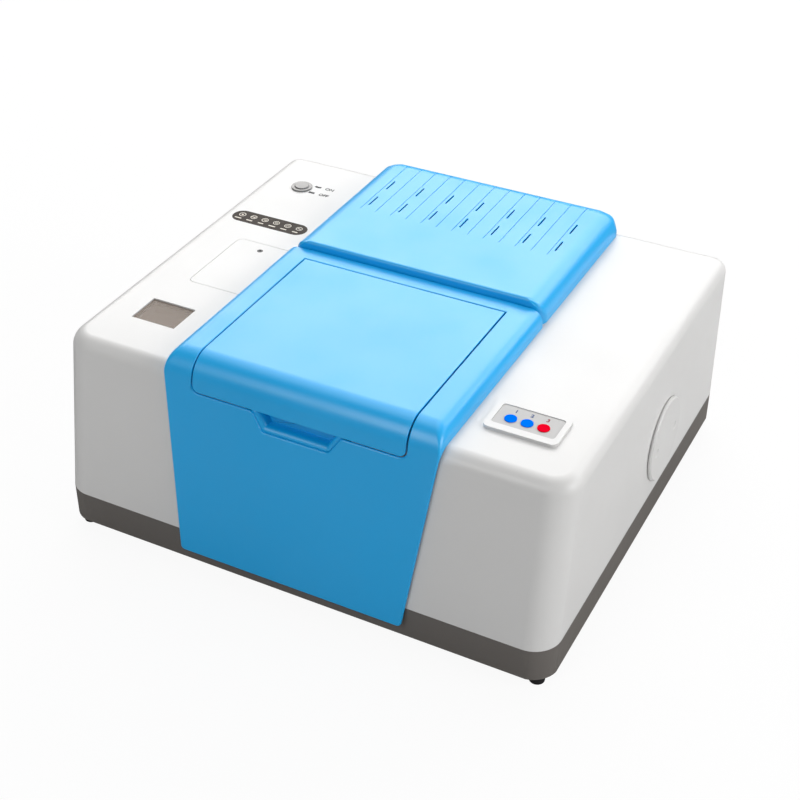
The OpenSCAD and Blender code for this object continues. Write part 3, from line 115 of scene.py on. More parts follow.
def make_moulding_group():
    """The grain of a moulded skin, broad handling marks and slight unevenness of tone."""
    group, entry, leave = new_group(
        "moulded skin", [("Grain Scale", 900.0), ("Mark Scale", 14.0)], ["Grain", "Marks", "Tone"])
    place = group.nodes.new("ShaderNodeTexCoord")
    grain = noise_node(group, entry.outputs["Grain Scale"], detail=2.0, roughness=0.6)
    marks = noise_node(group, entry.outputs["Mark Scale"], detail=5.0, roughness=0.62)
    tone = noise_node(group, scale=5.0, detail=1.0)
    for node in (grain, marks, tone):
        group.links.new(place.outputs["Object"], node.inputs["Vector"])
    group.links.new(grain.outputs["Fac"], leave.inputs["Grain"])
    group.links.new(range_node(group, marks.outputs["Fac"], 0.42, 0.72), leave.inputs["Marks"])
    group.links.new(range_node(group, tone.outputs["Fac"], 0.3, 0.7), leave.inputs["Tone"])
    return group


def make_edge_group():
    """A mask of the outer edges, where a finish is drawn lighter."""
    group, entry, leave = new_group("lighter edges", [("Radius", 0.0015)], ["Mask"])
    bevel = group.nodes.new("ShaderNodeBevel")
    bevel.samples = 4
    shape = group.nodes.new("ShaderNodeNewGeometry")
    dot = group.nodes.new("ShaderNodeVectorMath")
    dot.operation = "DOT_PRODUCT"
    group.links.new(entry.outputs["Radius"], bevel.inputs["Radius"])
    group.links.new(bevel.outputs["Normal"], dot.inputs[0])
    group.links.new(shape.outputs["Normal"], dot.inputs[1])
    group.links.new(range_node(group, dot.outputs["Value"], 0.98, 0.7), leave.inputs["Mask"])
    return group


def make_brushing_group():
    """Fine parallel scratches along X, with a mask of deeper ones."""
    group, entry, leave = new_group("brushed lines", [("Line Scale", 1200.0)], ["Lines", "Deep"])
    place = group.nodes.new("ShaderNodeTexCoord")
    stretch = group.nodes.new("ShaderNodeMapping")
    stretch.inputs["Scale"].default_value = (0.03, 1.0, 1.0)
    lines = noise_node(group, entry.outputs["Line Scale"], detail=3.0, roughness=0.7)
    group.links.new(place.outputs["Object"], stretch.inputs["Vector"])
    group.links.new(stretch.outputs["Vector"], lines.inputs["Vector"])
    group.links.new(lines.outputs["Fac"], leave.inputs["Lines"])
    group.links.new(range_node(group, lines.outputs["Fac"], 0.55, 0.75), leave.inputs["Deep"])
    return group


MOULDING = make_moulding_group()
EDGES = make_edge_group()
BRUSHING = make_brushing_group()


def place_group(tree, group, **values):
    """Adds a shared group to a material and sets its inputs by name."""
    node = tree.nodes.new("ShaderNodeGroup")
    node.node_tree = group
    for label, value in values.items():
        node.inputs[label.replace("_", " ")].default_value = value
    return node


def new_material(name, slot, colour):
    """A material with a bare Principled shader; slot is its finish in the record, or None for a print."""
    material = bpy.data.materials.new(name)
    material.use_nodes = True
    material.diffuse_color = (*colour, 1.0)
    if slot:
        material["slot"] = slot
    shader = material.node_tree.nodes["Principled BSDF"]
    return material, material.node_tree, shader


def mixed(tree, mask, first, second):
    """A colour that goes from the first, which may be another node's socket, to the second by a mask."""
    node = tree.nodes.new("ShaderNodeMix")
    node.data_type = "RGBA"
    if isinstance(first, tuple):
        node.inputs["A"].default_value = (*first, 1.0)
    else:
        tree.links.new(first, node.inputs["A"])
    node.inputs["B"].default_value = (*second, 1.0)
    tree.links.new(mask, node.inputs["Factor"])
    return node.outputs["Result"]


def relief(tree, shader, height, depth):
    """Feeds a height into the shader's normal; depth is in metres."""
    bump = tree.nodes.new("ShaderNodeBump")
    bump.inputs["Strength"].default_value = 1.0
    bump.inputs["Distance"].default_value = depth
    tree.links.new(height, bump.inputs["Height"])
    tree.links.new(bump.outputs["Normal"], shader.inputs["Normal"])


def tint(colour, factor):
    """The colour made lighter or darker."""
    return tuple(min(1.0, channel * factor) for channel in colour)


def plastic(name, slot, colour, rough, grain, depth, spread, edge_lightening=0.0, coat=0.0, gloss=0.5):
    """A moulded plastic: its grain and the grain's depth, the spread of its tone, and how much lighter its
    edges are drawn, with handling marks."""
    material, tree, shader = new_material(name, slot, colour)
    skin = place_group(tree, MOULDING, Grain_Scale=grain)
    body_colour = mixed(tree, skin.outputs["Tone"], tint(colour, 1 - spread), tint(colour, 1 + spread))
    if edge_lightening:
        # The outer edges are drawn lighter through the edge mask
        edges = place_group(tree, EDGES)
        body_colour = mixed(tree, edges.outputs["Mask"], body_colour, tint(colour, 1 + edge_lightening))
    tree.links.new(body_colour, shader.inputs["Base Color"])
    smoothest, dullest = rough - 0.03, rough + 0.05
    tree.links.new(
        range_node(tree, skin.outputs["Marks"], 0.0, 1.0, smoothest, dullest), shader.inputs["Roughness"])
    shader.inputs["Specular IOR Level"].default_value = gloss
    shader.inputs["Coat Weight"].default_value = coat
    shader.inputs["Coat Roughness"].default_value = 0.12
    relief(tree, shader, skin.outputs["Grain"], depth)
    return material


def metal(name, slot, colour, rough, lines=1200.0, depth=3e-6):
    """A machined or brushed metal with fine lines and dull patches."""
    material, tree, shader = new_material(name, slot, colour)
    brushing = place_group(tree, BRUSHING, Line_Scale=lines)
    skin = place_group(tree, MOULDING, Mark_Scale=40.0)
    scratched, dullest = tint(colour, 0.8), rough + 0.12
    tree.links.new(mixed(tree, brushing.outputs["Deep"], colour, scratched), shader.inputs["Base Color"])
    tree.links.new(
        range_node(tree, skin.outputs["Marks"], 0.0, 1.0, rough, dullest), shader.inputs["Roughness"])
    shader.inputs["Metallic"].default_value = 1.0
    relief(tree, shader, brushing.outputs["Lines"], depth)
    return material


def crystal_glass(name, slot, colour):
    """A polished crystal that light passes through."""
    material, tree, shader = new_material(name, slot, colour)
    skin = place_group(tree, MOULDING, Mark_Scale=60.0)
    tree.links.new(
        mixed(tree, skin.outputs["Tone"], tint(colour, 0.97), colour), shader.inputs["Base Color"])
    tree.links.new(
        range_node(tree, skin.outputs["Marks"], 0.0, 1.0, 0.02, 0.06), shader.inputs["Roughness"])
    shader.inputs["Transmission Weight"].default_value = 0.9
    shader.inputs["IOR"].default_value = 1.46
    return material


def circuit_board(name, slot):
    """Green solder mask over copper tracks, with bare pads."""
    green, track, pad = (0.012, 0.1, 0.045), (0.03, 0.2, 0.09), (0.7, 0.6, 0.35)
    material, tree, shader = new_material(name, slot, green)
    place = tree.nodes.new("ShaderNodeTexCoord")
    bricks = tree.nodes.new("ShaderNodeTexBrick")
    bricks.inputs["Scale"].default_value = 60.0
    bricks.inputs["Mortar Size"].default_value = 0.035
    bricks.inputs["Color1"].default_value = (*green, 1.0)
    bricks.inputs["Color2"].default_value = (*tint(green, 1.3), 1.0)
    bricks.inputs["Mortar"].default_value = (*track, 1.0)
    dots = tree.nodes.new("ShaderNodeTexVoronoi")
    dots.inputs["Scale"].default_value = 260.0
    dots.inputs["Randomness"].default_value = 0.25
    for node in (bricks, dots):
        tree.links.new(place.outputs["Object"], node.inputs["Vector"])
    pads = range_node(tree, dots.outputs["Distance"], 0.22, 0.18)
    tree.links.new(mixed(tree, pads, bricks.outputs["Color"], pad), shader.inputs["Base Color"])
    shader.inputs["Roughness"].default_value = 0.35
    relief(tree, shader, bricks.outputs["Fac"], 2e-5)
    return material


def wound_copper(name, slot):
    """Enamelled wire, whose turns lie side by side along the coil, with painted shade in the grooves between
    them.
    """
    copper = (0.62, 0.24, 0.08)
    material, tree, shader = new_material(name, slot, copper)
    place = tree.nodes.new("ShaderNodeTexCoord")
    turns = tree.nodes.new("ShaderNodeTexWave")
    turns.bands_direction = "Y"
    turns.inputs["Scale"].default_value = 500.0
    tree.links.new(place.outputs["Object"], turns.inputs["Vector"])
    # Painted shade: the grooves between the wire turns are drawn darker, where shade falls between the wires
    shade_between_turns = tint(copper, 0.45)
    tree.links.new(mixed(tree, turns.outputs["Fac"], shade_between_turns, copper), shader.inputs["Base Color"])
    shader.inputs["Metallic"].default_value = 0.8
    shader.inputs["Roughness"].default_value = 0.3
    relief(tree, shader, turns.outputs["Fac"], 1.5e-4)
    return material


FINISHES = {finish["slot"]: finish for finish in (
    plastic(
        "blue moulded skin", "blue_shell", (0.0, 0.41, 0.86), 0.36, 1100.0, 3e-6, 0.02, edge_lightening=0.1, gloss=0.8),
    plastic(
        "white painted cover", "white_cover", (0.68, 0.676, 0.668), 0.36, 1000.0, 3e-6, 0.012, edge_lightening=0.03),
    plastic("grey moulded base", "grey_base", (0.15, 0.137, 0.126), 0.42, 700.0, 8e-6, 0.04, edge_lightening=0.12),
    plastic("black rubber", "rubber", (0.012, 0.012, 0.013), 0.75, 500.0, 2e-5, 0.15),
    metal("machined steel", "steel", (0.56, 0.56, 0.57), 0.28),
    metal("plated magnet", "magnet_metal", (0.55, 0.55, 0.57), 0.15, 800.0, 1e-6),
    plastic("black plastic", "black_plastic", (0.016, 0.016, 0.018), 0.48, 800.0, 8e-6, 0.12),
    crystal_glass("polished crystal", "crystal", (0.85, 0.93, 0.95)),
    metal("machined aluminium", "bare_aluminium", (0.74, 0.75, 0.76), 0.33, 700.0, 6e-6),
    metal("black anodised aluminium", "dark_aluminium", (0.045, 0.046, 0.052), 0.42, 700.0, 5e-6),
    metal("gold-tinted mirror", "mirror_glass", (0.95, 0.88, 0.72), 0.03, 300.0, 1e-7),
    wound_copper("enamelled copper wire", "copper_winding"),
    plastic("fired ceramic", "ceramic", (0.7, 0.62, 0.48), 0.7, 1500.0, 1.5e-5, 0.08),
    metal("gold-plated can", "gilt_housing", (0.75, 0.56, 0.25), 0.22, 900.0, 3e-6),
    circuit_board("green circuit board", "board_green"),
    metal("turned brass", "brass_post", (0.72, 0.5, 0.2), 0.25),
    plastic("white port cap", "port_white", (0.66, 0.656, 0.648), 0.4, 1000.0, 4e-6, 0.012, edge_lightening=0.03),
    plastic("amber canister", "amber_plastic", (0.55, 0.22, 0.03), 0.2, 1200.0, 2e-6, 0.1, coat=0.6),
    metal("blackened screw", "dark_screw", (0.08, 0.08, 0.08), 0.35),
    plastic("smoked pane", "smoke_window", (0.34, 0.28, 0.235), 0.2, 900.0, 5e-7, 0.05, gloss=0.1),
    plastic("dark lens", "strip_brown", (0.032, 0.022, 0.015), 0.3, 900.0, 5e-7, 0.1, gloss=0.05),
    metal("brushed switch ring", "switch_metal", (0.3, 0.295, 0.29), 0.5, 1500.0, 2e-6),
    plastic("film keypad", "keypad_grey", (0.47, 0.465, 0.46), 0.5, 2200.0, 6e-6, 0.02),
    plastic("blue key", "key_blue", (0.0, 0.17, 0.9), 0.5, 1500.0, 2e-6, 0.06, edge_lightening=0.1, gloss=0.0),
    plastic("red key", "key_red", (0.8, 0.002, 0.02), 0.5, 1500.0, 2e-6, 0.06, edge_lightening=0.1, gloss=0.0),
)}

# The smoked pane lets nearly half of the light through
FINISHES["smoke_window"].node_tree.nodes["Principled BSDF"].inputs["Alpha"].default_value = 0.55


def dress(piece, slot):
    """Gives a piece the finish of a slot."""
    piece.data.materials.clear()
    piece.data.materials.append(FINISHES[slot])


WELD_DISTANCE = 1e-6


def crisp_edges(piece, width, segments=2):
    """Small rounded edges and even shading; the modifiers stay live."""
    weld = piece.modifiers.new("weld", "WELD")
    weld.merge_threshold = WELD_DISTANCE
    bevel = piece.modifiers.new("edges", "BEVEL")
    bevel.width = width * MM
    bevel.segments = segments
    bevel.limit_method = "ANGLE"
    bevel.angle_limit = math.radians(40.0)
    bevel.miter_outer = "MITER_ARC"
    shade = piece.modifiers.new("shading", "WEIGHTED_NORMAL")
    shade.keep_sharp = True


def shade_smooth(piece, limit=35.0):
    """Smooth shading that stops at the sharp edges."""
    piece.data.shade_smooth()
    piece.data.set_sharp_from_angle(angle=math.radians(limit))


# Modelling happens in millimetres from the middle of the body, and ends in metres in the frame
BODY_PLACE = Matrix.Translation((BODY_X * MM, BODY_Y * MM, 0.0)) @ Matrix.Scale(MM, 4)
VERT, EDGE, FACE = bmesh.types.BMVert, bmesh.types.BMEdge, bmesh.types.BMFace
NEAR, MERGE_DISTANCE = 1e-3, 1e-4
BEND_STEPS = 12


def near(first, second):
    """True where two millimetre values are the same but for rounding."""
    return abs(first - second) < NEAR


def new_object(name, data):
    """An object that stands in the scene."""
    piece = bpy.data.objects.new(name, data)
    bpy.context.collection.objects.link(piece)
    return piece


def as_object(bm, name, turn_out=True):
    """Makes an object of a bmesh modelled in body millimetres; a skin that faces right already isn't turned."""
    if turn_out:
        bmesh.ops.recalc_face_normals(bm, faces=bm.faces)
    bmesh.ops.transform(bm, matrix=BODY_PLACE, verts=bm.verts)
    mesh = bpy.data.meshes.new(name)
    bm.to_mesh(mesh)
    bm.free()
    return new_object(name, mesh)


def thicken(piece, wall):
    """Gives a skin its wall, inward from its face."""
    solid = piece.modifiers.new("wall", "SOLIDIFY")
    solid.thickness = wall * MM
    solid.offset = -1.0
    return solid


def round_by_weight(piece, radius, segments):
    """Rounds edges by their weights, of which 1 is the radius."""
    bevel = piece.modifiers.new("rounding", "BEVEL")
    bevel.limit_method = "WEIGHT"
    bevel.width = radius * MM
    bevel.segments = segments
    bevel.use_clamp_overlap = False


def settle(piece):
    """Makes a piece's modifiers part of its mesh."""
    bpy.context.view_layer.update()
    view = bpy.context.evaluated_depsgraph_get()
    mesh = bpy.data.meshes.new_from_object(piece.evaluated_get(view))
    piece.modifiers.clear()
    piece.data = mesh


def carve(piece, cutter):
    """Cuts a bmesh out of a piece."""
    tool = as_object(cutter, "cutter")
    cut = piece.modifiers.new("cut", "BOOLEAN")
    cut.object = tool
    cut.operation = "DIFFERENCE"
    cut.solver = "EXACT"
    settle(piece)
    bpy.data.objects.remove(tool)


def mount(piece, slot, body, *stood_for):
    """Finishes a new piece: its material, its body and the CAD nodes that it stands for."""
    dress(piece, slot)
    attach(piece, body)
    if stood_for:
        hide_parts(*stood_for)


def only(kind, geom):
    """The vertices, edges or faces of an operator's result."""
    return [g for g in geom if isinstance(g, kind)]


def join(bm, other):
    """Adds another bmesh as a piece of its own."""
    spare = bpy.data.meshes.new("spare")
    other.to_mesh(spare)
    other.free()
    bm.from_mesh(spare)
    bpy.data.meshes.remove(spare)


def raised(bm, h, place, turn=None):
    """Gives a flat shape its height, turns it and puts it on its place."""
    lifted = bmesh.ops.extrude_face_region(bm, geom=bm.faces[:])
    bmesh.ops.translate(bm, vec=(0.0, 0.0, h), verts=only(VERT, lifted["geom"]))
    return placed(bm, place, turn)


def placed(bm, place, turn=None):
    """Turns a shape and puts it on its place."""
    matrix = Matrix.Translation(place) @ (turn or Matrix.Identity(4))
    bmesh.ops.transform(bm, matrix=matrix, verts=bm.verts)
    return bm


def flat_face(w, d):
    """A flat rectangle round the origin."""
    bm = bmesh.new()
    bmesh.ops.create_grid(bm, x_segments=1, y_segments=1, size=0.5)
    bmesh.ops.scale(bm, vec=(w, d, 1.0), verts=bm.verts)
    return bm


def plate(w, d, h, r, place, turn=None, steps=6):
    """A rounded plate that stands on its place."""
    bm = flat_face(w, d)
    if r > 0:
        bmesh.ops.bevel(
            bm, geom=bm.verts[:], affect="VERTICES", offset=r, segments=steps, profile=0.5, material=-1,
            clamp_overlap=False)
    return raised(bm, h, place, turn)


def disc(r, h, place, turn=None, steps=64):
    """A round plate that stands on its place."""
    bm = bmesh.new()
    bmesh.ops.create_cone(
        bm, cap_ends=True, segments=steps, radius1=r, radius2=r, depth=h,
        matrix=Matrix.Translation((0.0, 0.0, h / 2)))
    return placed(bm, place, turn)


def ring(outer_r, inner_r, h, place, turn=None, steps=32):
    """A flat ring that stands on its place."""
    bm = bmesh.new()
    for radius in (outer_r, inner_r):
        bmesh.ops.create_circle(bm, cap_ends=False, segments=steps, radius=radius)
    bmesh.ops.bridge_loops(bm, edges=bm.edges[:])
    return raised(bm, h, place, turn)


def spin(bm, geom, centre, axis, angle):
    """Turns edges or faces round a centre, with a skin or a solid behind them; returns the last ones."""
    spun = bmesh.ops.spin(
        bm, geom=geom, cent=centre, axis=axis, dvec=(0, 0, 0), angle=angle, steps=BEND_STEPS, use_merge=False,
        use_duplicate=False)
    return spun["geom_last"]


def round_edges(bm, chosen, radius, steps):
    """Rounds the edges that a test picks."""
    edges = [edge for edge in bm.edges if chosen(edge)]
    bmesh.ops.bevel(
        bm, geom=edges, affect="EDGES", offset=radius, segments=steps, profile=0.5, material=-1,
        clamp_overlap=False)


def upright(edge):
    """True for an edge that climbs more than a millimetre."""
    low, high = sorted(v.co.z for v in edge.verts)
    return high - low > 1.0


def arc(centre_x, centre_z, radius, start, end, steps):
    """Points of an arc in X and Z, with angles in degrees from +X towards +Z."""
    angles = [math.radians(start + (end - start) * i / steps) for i in range(steps + 1)]
    return [(centre_x + radius * math.cos(a), centre_z + radius * math.sin(a)) for a in angles]


# Places on the body
TOP_TILT = math.atan(SIDE_DRAFT)
WINDOW = Vector((-186.6, -126.0, TOP_Z))
WINDOW_W, WINDOW_D = 46.7, 36.6
HATCH = Vector((-168.25, -19.0, TOP_Z))
STRIP = Vector((-190.0, 69.0, TOP_Z))
SWITCH = Vector((-200.0, 152.0, TOP_Z))
KEYPAD = Vector((181.5, -131.5, TOP_Z))
KEYS = KEYPAD + Vector((0.0, -2.3, 0.0))
PORT_Z, PORT_Y, PORT_BORE_R = 96.0, 45.0, 33.0
REAR_PANEL_X, REAR_PANEL_Z = 150.0, 90.0
VENT_MIDDLE, VENT_W, VENT_FRONT, VENT_REAR = 2.5, 263.0, 13.1, 222.5

# Cuts through the top start below it and end above it, and a cut through a wall reaches as far to both sides
CUT_LOW, CUT_H, WALL_CUT = TOP_Z - 8.0, 16.0, 40.0
# Openings and seats of the cover: width, depth, corner radius, its steps, middle in plan, bottom and height
COVER_OPENINGS = {
    "sample bay": (200.6, 188.2, 2.0, 6, (0.0, -85.8), CUT_LOW, CUT_H),
    "front of the bay": (104.0, 34.4, 2.0, 6, (0.0, -212.8), 165.0, 60.0),
    "vent": (193.0, 149.4, 2.0, 6, (VENT_MIDDLE, 117.8), CUT_LOW, CUT_H),
    "hatch seat": (63.5, 94.0, 6.0, 6, HATCH.xy, TOP_Z - 2.5, 8.0),
    "strip seat": (86.0, 22.0, 10.9, 12, STRIP.xy, TOP_Z - 1.5, 8.0),
    "window": (WINDOW_W, WINDOW_D, 0.6, 2, WINDOW.xy, CUT_LOW, CUT_H),
    "keys": (50.0, 16.0, 2.0, 6, KEYS.xy, CUT_LOW, CUT_H),
}
SWITCH_HOLE_R = 9.5
REAR_HOLE_W, REAR_HOLE_H, REAR_HOLE_R = 122.0, 52.0, 3.0
HATCH_HOLE_W, HATCH_HOLE_D, HATCH_HOLE_R = 51.5, 82.0, 3.0
# Square screw posts under the cover's sides, and bars under the hatch: place from its middle, width and depth
POST_W, POST_H, POST_R, POST_X, POST_YS = 14.0, 22.0, 1.5, 240.0, (-140.0, 0.0, 164.0)
LEDGE_BARS = ((-28.75, 0, 18, 106), (28.75, 0, 18, 106), (0, -44, 58, 18), (0, 44, 58, 18))
LEDGE_T, LEDGE_LOW = 3.0, TOP_Z - 5.5


def make_white_cover():
    """The white cover: a leaning shell with soft corners and its openings."""
    bm = bmesh.new()
    bmesh.ops.create_cube(bm, size=1.0)
    for v in bm.verts:
        z = TOP_Z if v.co.z > 0 else SEAM_Z
        y = rear_y(z) if v.co.y > 0 else front_y(z)
        v.co = (math.copysign(side_x(z), v.co.x), y, z)
    underside = [f for f in bm.faces if f.calc_center_median().z < SEAM_Z + 1]
    bmesh.ops.delete(bm, geom=underside, context="FACES_ONLY")
    round_edges(bm, lambda e: upright(e) and e.verts[0].co.y < 0, FRONT_CORNER_R, steps=12)
    round_edges(bm, is_rear_corner, REAR_CORNER_R, steps=8)
    round_edges(bm, lambda e: all(v.co.z > TOP_Z - 0.01 for v in e.verts), TOP_EDGE_R, steps=8)
    cover = as_object(bm, "white_cover_shell")
    thicken(cover, COVER_WALL).use_even_offset = True
    settle(cover)
    carve(cover, cover_cutter())
    carve(cover, plate(HATCH_HOLE_W, HATCH_HOLE_D, CUT_H, HATCH_HOLE_R, (HATCH.x, HATCH.y, CUT_LOW)))
    add_islands(cover, cover_posts())
    crisp_edges(cover, 0.35)
    shade_smooth(cover)
    return cover


def is_rear_corner(edge):
    """True for the two climbing edges at the cover's rear."""
    return (upright(edge) and min(v.co.y for v in edge.verts) > BODY_D / 2 - 10
            and abs(edge.verts[0].co.x) > BODY_W / 2 - 3)


def cover_cutter():
    """All that is cut out of the cover: openings in its top, the port's bore and the rear panel's opening."""
    to_side = Matrix.Rotation(math.radians(90) - TOP_TILT, 4, "Y")
    to_rear = Matrix.Rotation(math.radians(-90) + math.atan(REAR_DRAFT), 4, "X")
    cutter = bmesh.new()
    for w, d, r, steps, (x, y), low, h in COVER_OPENINGS.values():
        join(cutter, plate(w, d, h, r, (x, y, low), steps=steps))
    join(cutter, disc(SWITCH_HOLE_R, CUT_H, (SWITCH.x, SWITCH.y, CUT_LOW)))
    port = (side_x(PORT_Z) - WALL_CUT / 2, PORT_Y, PORT_Z)
    join(cutter, disc(PORT_BORE_R, WALL_CUT, port, to_side, steps=96))
    rear = (REAR_PANEL_X, rear_y(REAR_PANEL_Z) - WALL_CUT / 2, REAR_PANEL_Z)
    join(cutter, plate(REAR_HOLE_W, REAR_HOLE_H, WALL_CUT, REAR_HOLE_R, rear, to_rear))
    return cutter


def cover_posts():
    """The screw posts along the sides and the ledge that carries the hatch."""
    posts = bmesh.new()
    for x in (-POST_X, POST_X):
        for y in POST_YS:
            join(posts, plate(POST_W, POST_W, POST_H, POST_R, (x, y, SEAM_Z)))
    for x, y, w, d in LEDGE_BARS:
        join(posts, plate(w, d, LEDGE_T, 1.0, (HATCH.x + x, HATCH.y + y, LEDGE_LOW)))
    return posts


def add_islands(piece, bm):
    """Adds closed shapes in body millimetres to a finished piece."""
    bmesh.ops.recalc_face_normals(bm, faces=bm.faces)
    bmesh.ops.transform(bm, matrix=BODY_PLACE, verts=bm.verts)
    whole = bmesh.new()
    whole.from_mesh(piece.data)
    join(whole, bm)
    whole.to_mesh(piece.data)
    whole.free()


# The blue sample bay: a leaning front panel, a bend and a crown
SHROUD_LOW, SHROUD_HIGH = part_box("sample_shroud")
SHROUD_HALF = (SHROUD_HIGH.x - SHROUD_LOW.x) / 2 / MM
PANEL_Z, PANEL_FOOT_HALF = 26.5, 113.5
# How far the panel's face stands out from the white cover's, and the gap between them behind its edge
PANEL_PROUD, PANEL_GAP = 4.5, 2.1
# Along the crown the sides sink into the white cover, and round the bend they stand clear of it
SIDE_SINK, BEND_CLEAR = 0.6, 0.9
BEND_R = 24.0
BLUE_WALL = 3.0
SHOULDER_R, PANEL_EDGE_R, PANEL_CORNER_R = 13.0, 1.6, 4.4
SHROUD_BACK = 12.5
LID_HALF, LID_REAR = 104.0, -6.0
LID_LOW_Z, LID_CORNER_R = 190.6, 6.0
LIP_R, SHOULDER_DROP, ROLL_STEPS, ROLL_TAIL = 1.7, 0.7, 8, 0.3
RECESS_HALF, RECESS_LOW_Z, RECESS_DEPTH = 41.5, 172.2, 12.0
RECESS_LIP_R, RECESS_LIP_X, RECESS_CORNER_R, RECESS_CORNER_X = 5.0, RECESS_HALF + 4.8, 6.0, RECESS_HALF - 12.0
RECESS_SLOPE = 22.0
# The recess tray narrows as it deepens: its outline's growth and its depth behind the panel's face
POCKET_RINGS = (
    (-0.1, 1.5), (-2.0, 1.9), (-3.6, 2.8), (-4.8, 4.2), (-5.4, 6.0), (-5.9, 8.6), (-6.3, RECESS_DEPTH))
POCKET_WALL, POCKET_BEHIND_LID, POCKET_ASIDE, POCKET_TOP = 1.8, 0.6, 2.5, 10.0
SEAM_GAP = 1.4
LEAN_OUT = Vector((0.0, -math.cos(FRONT_LEAN), math.sin(FRONT_LEAN)))
BEND_Z = CROWN_Z - BEND_R
BEND_START_Z = BEND_Z + BEND_R * LEAN_OUT.z
COVER_BEND_Z = TOP_Z - TOP_EDGE_R * (1 - math.sin(FRONT_LEAN)) + PANEL_PROUD * math.sin(FRONT_LEAN)
SIDE_HEIGHTS = (80.0, 140.0, COVER_BEND_Z, 197.0, BEND_START_Z)
CORNER_STEPS = 6


def panel_y(z):
    """The blue panel's face at a height."""
    return front_y(z) - PANEL_PROUD / math.cos(FRONT_LEAN)


BEND_MIDDLE = Vector((0.0, panel_y(BEND_START_Z) - BEND_R * LEAN_OUT.y, BEND_Z))


def on_panel(x, z, depth=0.0):
    """A point at a depth behind the panel's face."""
    return Vector((x, panel_y(z), z)) - LEAN_OUT * depth


def panel_half(z):
    """Half the panel's width at a height."""
    rise = (z - PANEL_Z) / (TOP_Z - PANEL_Z)
    return PANEL_FOOT_HALF + (SHROUD_HALF - PANEL_FOOT_HALF) * min(1.0, rise)


def face_of(bm, points):
    """One flat face through points on the panel."""
    return bm.faces.new([bm.verts.new(on_panel(x, z)) for x, z in points])


def mirrored(points):
    """The right half of an outline, with the left half after it."""
    return points + [(-x, z) for x, z in reversed(points)]


def edges_at(bm, z):
    """The edges at a height."""
    return [e for e in bm.edges if all(near(v.co.z, z) for v in e.verts)]


def bend_back(bm, edges, rear_y_end):
    """Turns edges round the bend and draws them back along the crown; returns the rear edges."""
    last = spin(bm, edges, BEND_MIDDLE, (-1.0, 0.0, 0.0), math.radians(90) - FRONT_LEAN)
    drawn = bmesh.ops.extrude_edge_only(bm, edges=only(EDGE, last))["geom"]
    for v in only(VERT, drawn):
        v.co.y = rear_y_end
    return [e for e in only(EDGE, drawn) if all(near(v.co.y, rear_y_end) for v in e.verts)]


def side_depth(point):
    """How far the shroud's side reaches in from its outer face, to the white cover below it."""
    if point.y > BEND_MIDDLE.y - NEAR:
        return point.z - TOP_Z + SIDE_SINK
    if point.z <= BEND_START_Z + NEAR:
        climb = max(0.0, (point.z - COVER_BEND_Z) / math.cos(FRONT_LEAN))
        return PANEL_PROUD - PANEL_GAP + TOP_EDGE_R - math.sqrt(TOP_EDGE_R ** 2 - climb ** 2)
    centre = Vector((point.x, BEND_MIDDLE.y, BEND_Z))
    ray = (point - centre).normalized()
    edge_z = TOP_Z - TOP_EDGE_R
    offset = Vector((point.x, front_y(edge_z) + TOP_EDGE_R / math.cos(FRONT_LEAN), edge_z)) - centre
    along = ray.dot(offset)
    reach = along + math.sqrt(max(0.0, along * along - offset.length_squared + TOP_EDGE_R ** 2))
    flat = (TOP_Z - BEND_Z) / max(ray.z, NEAR)
    if flat * ray.y > offset.y:
        reach = flat
    rise = (point.z - BEND_START_Z) / (CROWN_Z - BEND_START_Z)
    return BEND_R - reach - BEND_CLEAR * (1 - rise) + SIDE_SINK * rise


def inward(point):
    """The direction from the shroud's outer face to its inside."""
    if point.z <= BEND_START_Z + NEAR:
        return -LEAN_OUT
    if point.y > BEND_MIDDLE.y:
        return Vector((0.0, 0.0, -1.0))
    return (Vector((point.x, BEND_MIDDLE.y, BEND_Z)) - point).normalized()


def recess_side(top_z):
    """The right side of the finger recess from a height down: a rounded lip, a slope and a corner."""
    return (arc(RECESS_LIP_X, top_z - RECESS_LIP_R, RECESS_LIP_R, 90, 180 - RECESS_SLOPE, CORNER_STEPS)
            + arc(RECESS_CORNER_X, RECESS_LOW_Z + RECESS_CORNER_R, RECESS_CORNER_R, -RECESS_SLOPE, -90,
                  CORNER_STEPS))


def edge_radius(point):
    """The rounding of the shroud's sides: small along the panel, broad along the crown."""
    rise = 0.0
    if point.z > BEND_START_Z:
        climb = math.atan2(point.z - BEND_Z, max(0.0, BEND_MIDDLE.y - point.y))
        rise = (climb - FRONT_LEAN) / (math.radians(90) - FRONT_LEAN)
    return PANEL_EDGE_R + (SHOULDER_R - PANEL_EDGE_R) * rise * rise * (3 - 2 * rise)


def sideways(point):
    """The direction along the outer face that leads over its nearest side or corner."""
    side = math.copysign(1.0, point.x)
    corner_z = PANEL_Z + PANEL_CORNER_R
    if point.z > corner_z - NEAR:
        return Vector((side, 0.0, 0.0))
    return (point - on_panel(side * (panel_half(corner_z) - PANEL_CORNER_R), corner_z)).normalized()


def roll_edges(bm, edges, order):
    """Rolls boundary edges back over a quarter round, and then straight to the white cover."""
    verts = dict.fromkeys(v for e in edges for v in e.verts)
    starts = []
    for i, v in enumerate(verts):
        v[order] = i
        starts.append((v.co.copy(), sideways(v.co), inward(v.co), edge_radius(v.co)))
    for step in range(1, ROLL_STEPS + 2):
        drawn = bmesh.ops.extrude_edge_only(bm, edges=edges)["geom"]
        fresh = only(VERT, drawn)
        turn = math.radians(90) * min(1.0, step / ROLL_STEPS)
        for v in fresh:
            start, aside, back, radius = starts[v[order]]
            depth = radius * (1 - math.cos(turn))
            if step > ROLL_STEPS:
                depth = max(side_depth(start), radius + ROLL_TAIL)
            v.co = start + aside * radius * math.sin(turn) + back * depth
        edges = [e for e in only(EDGE, drawn) if all(v in fresh for v in e.verts)]


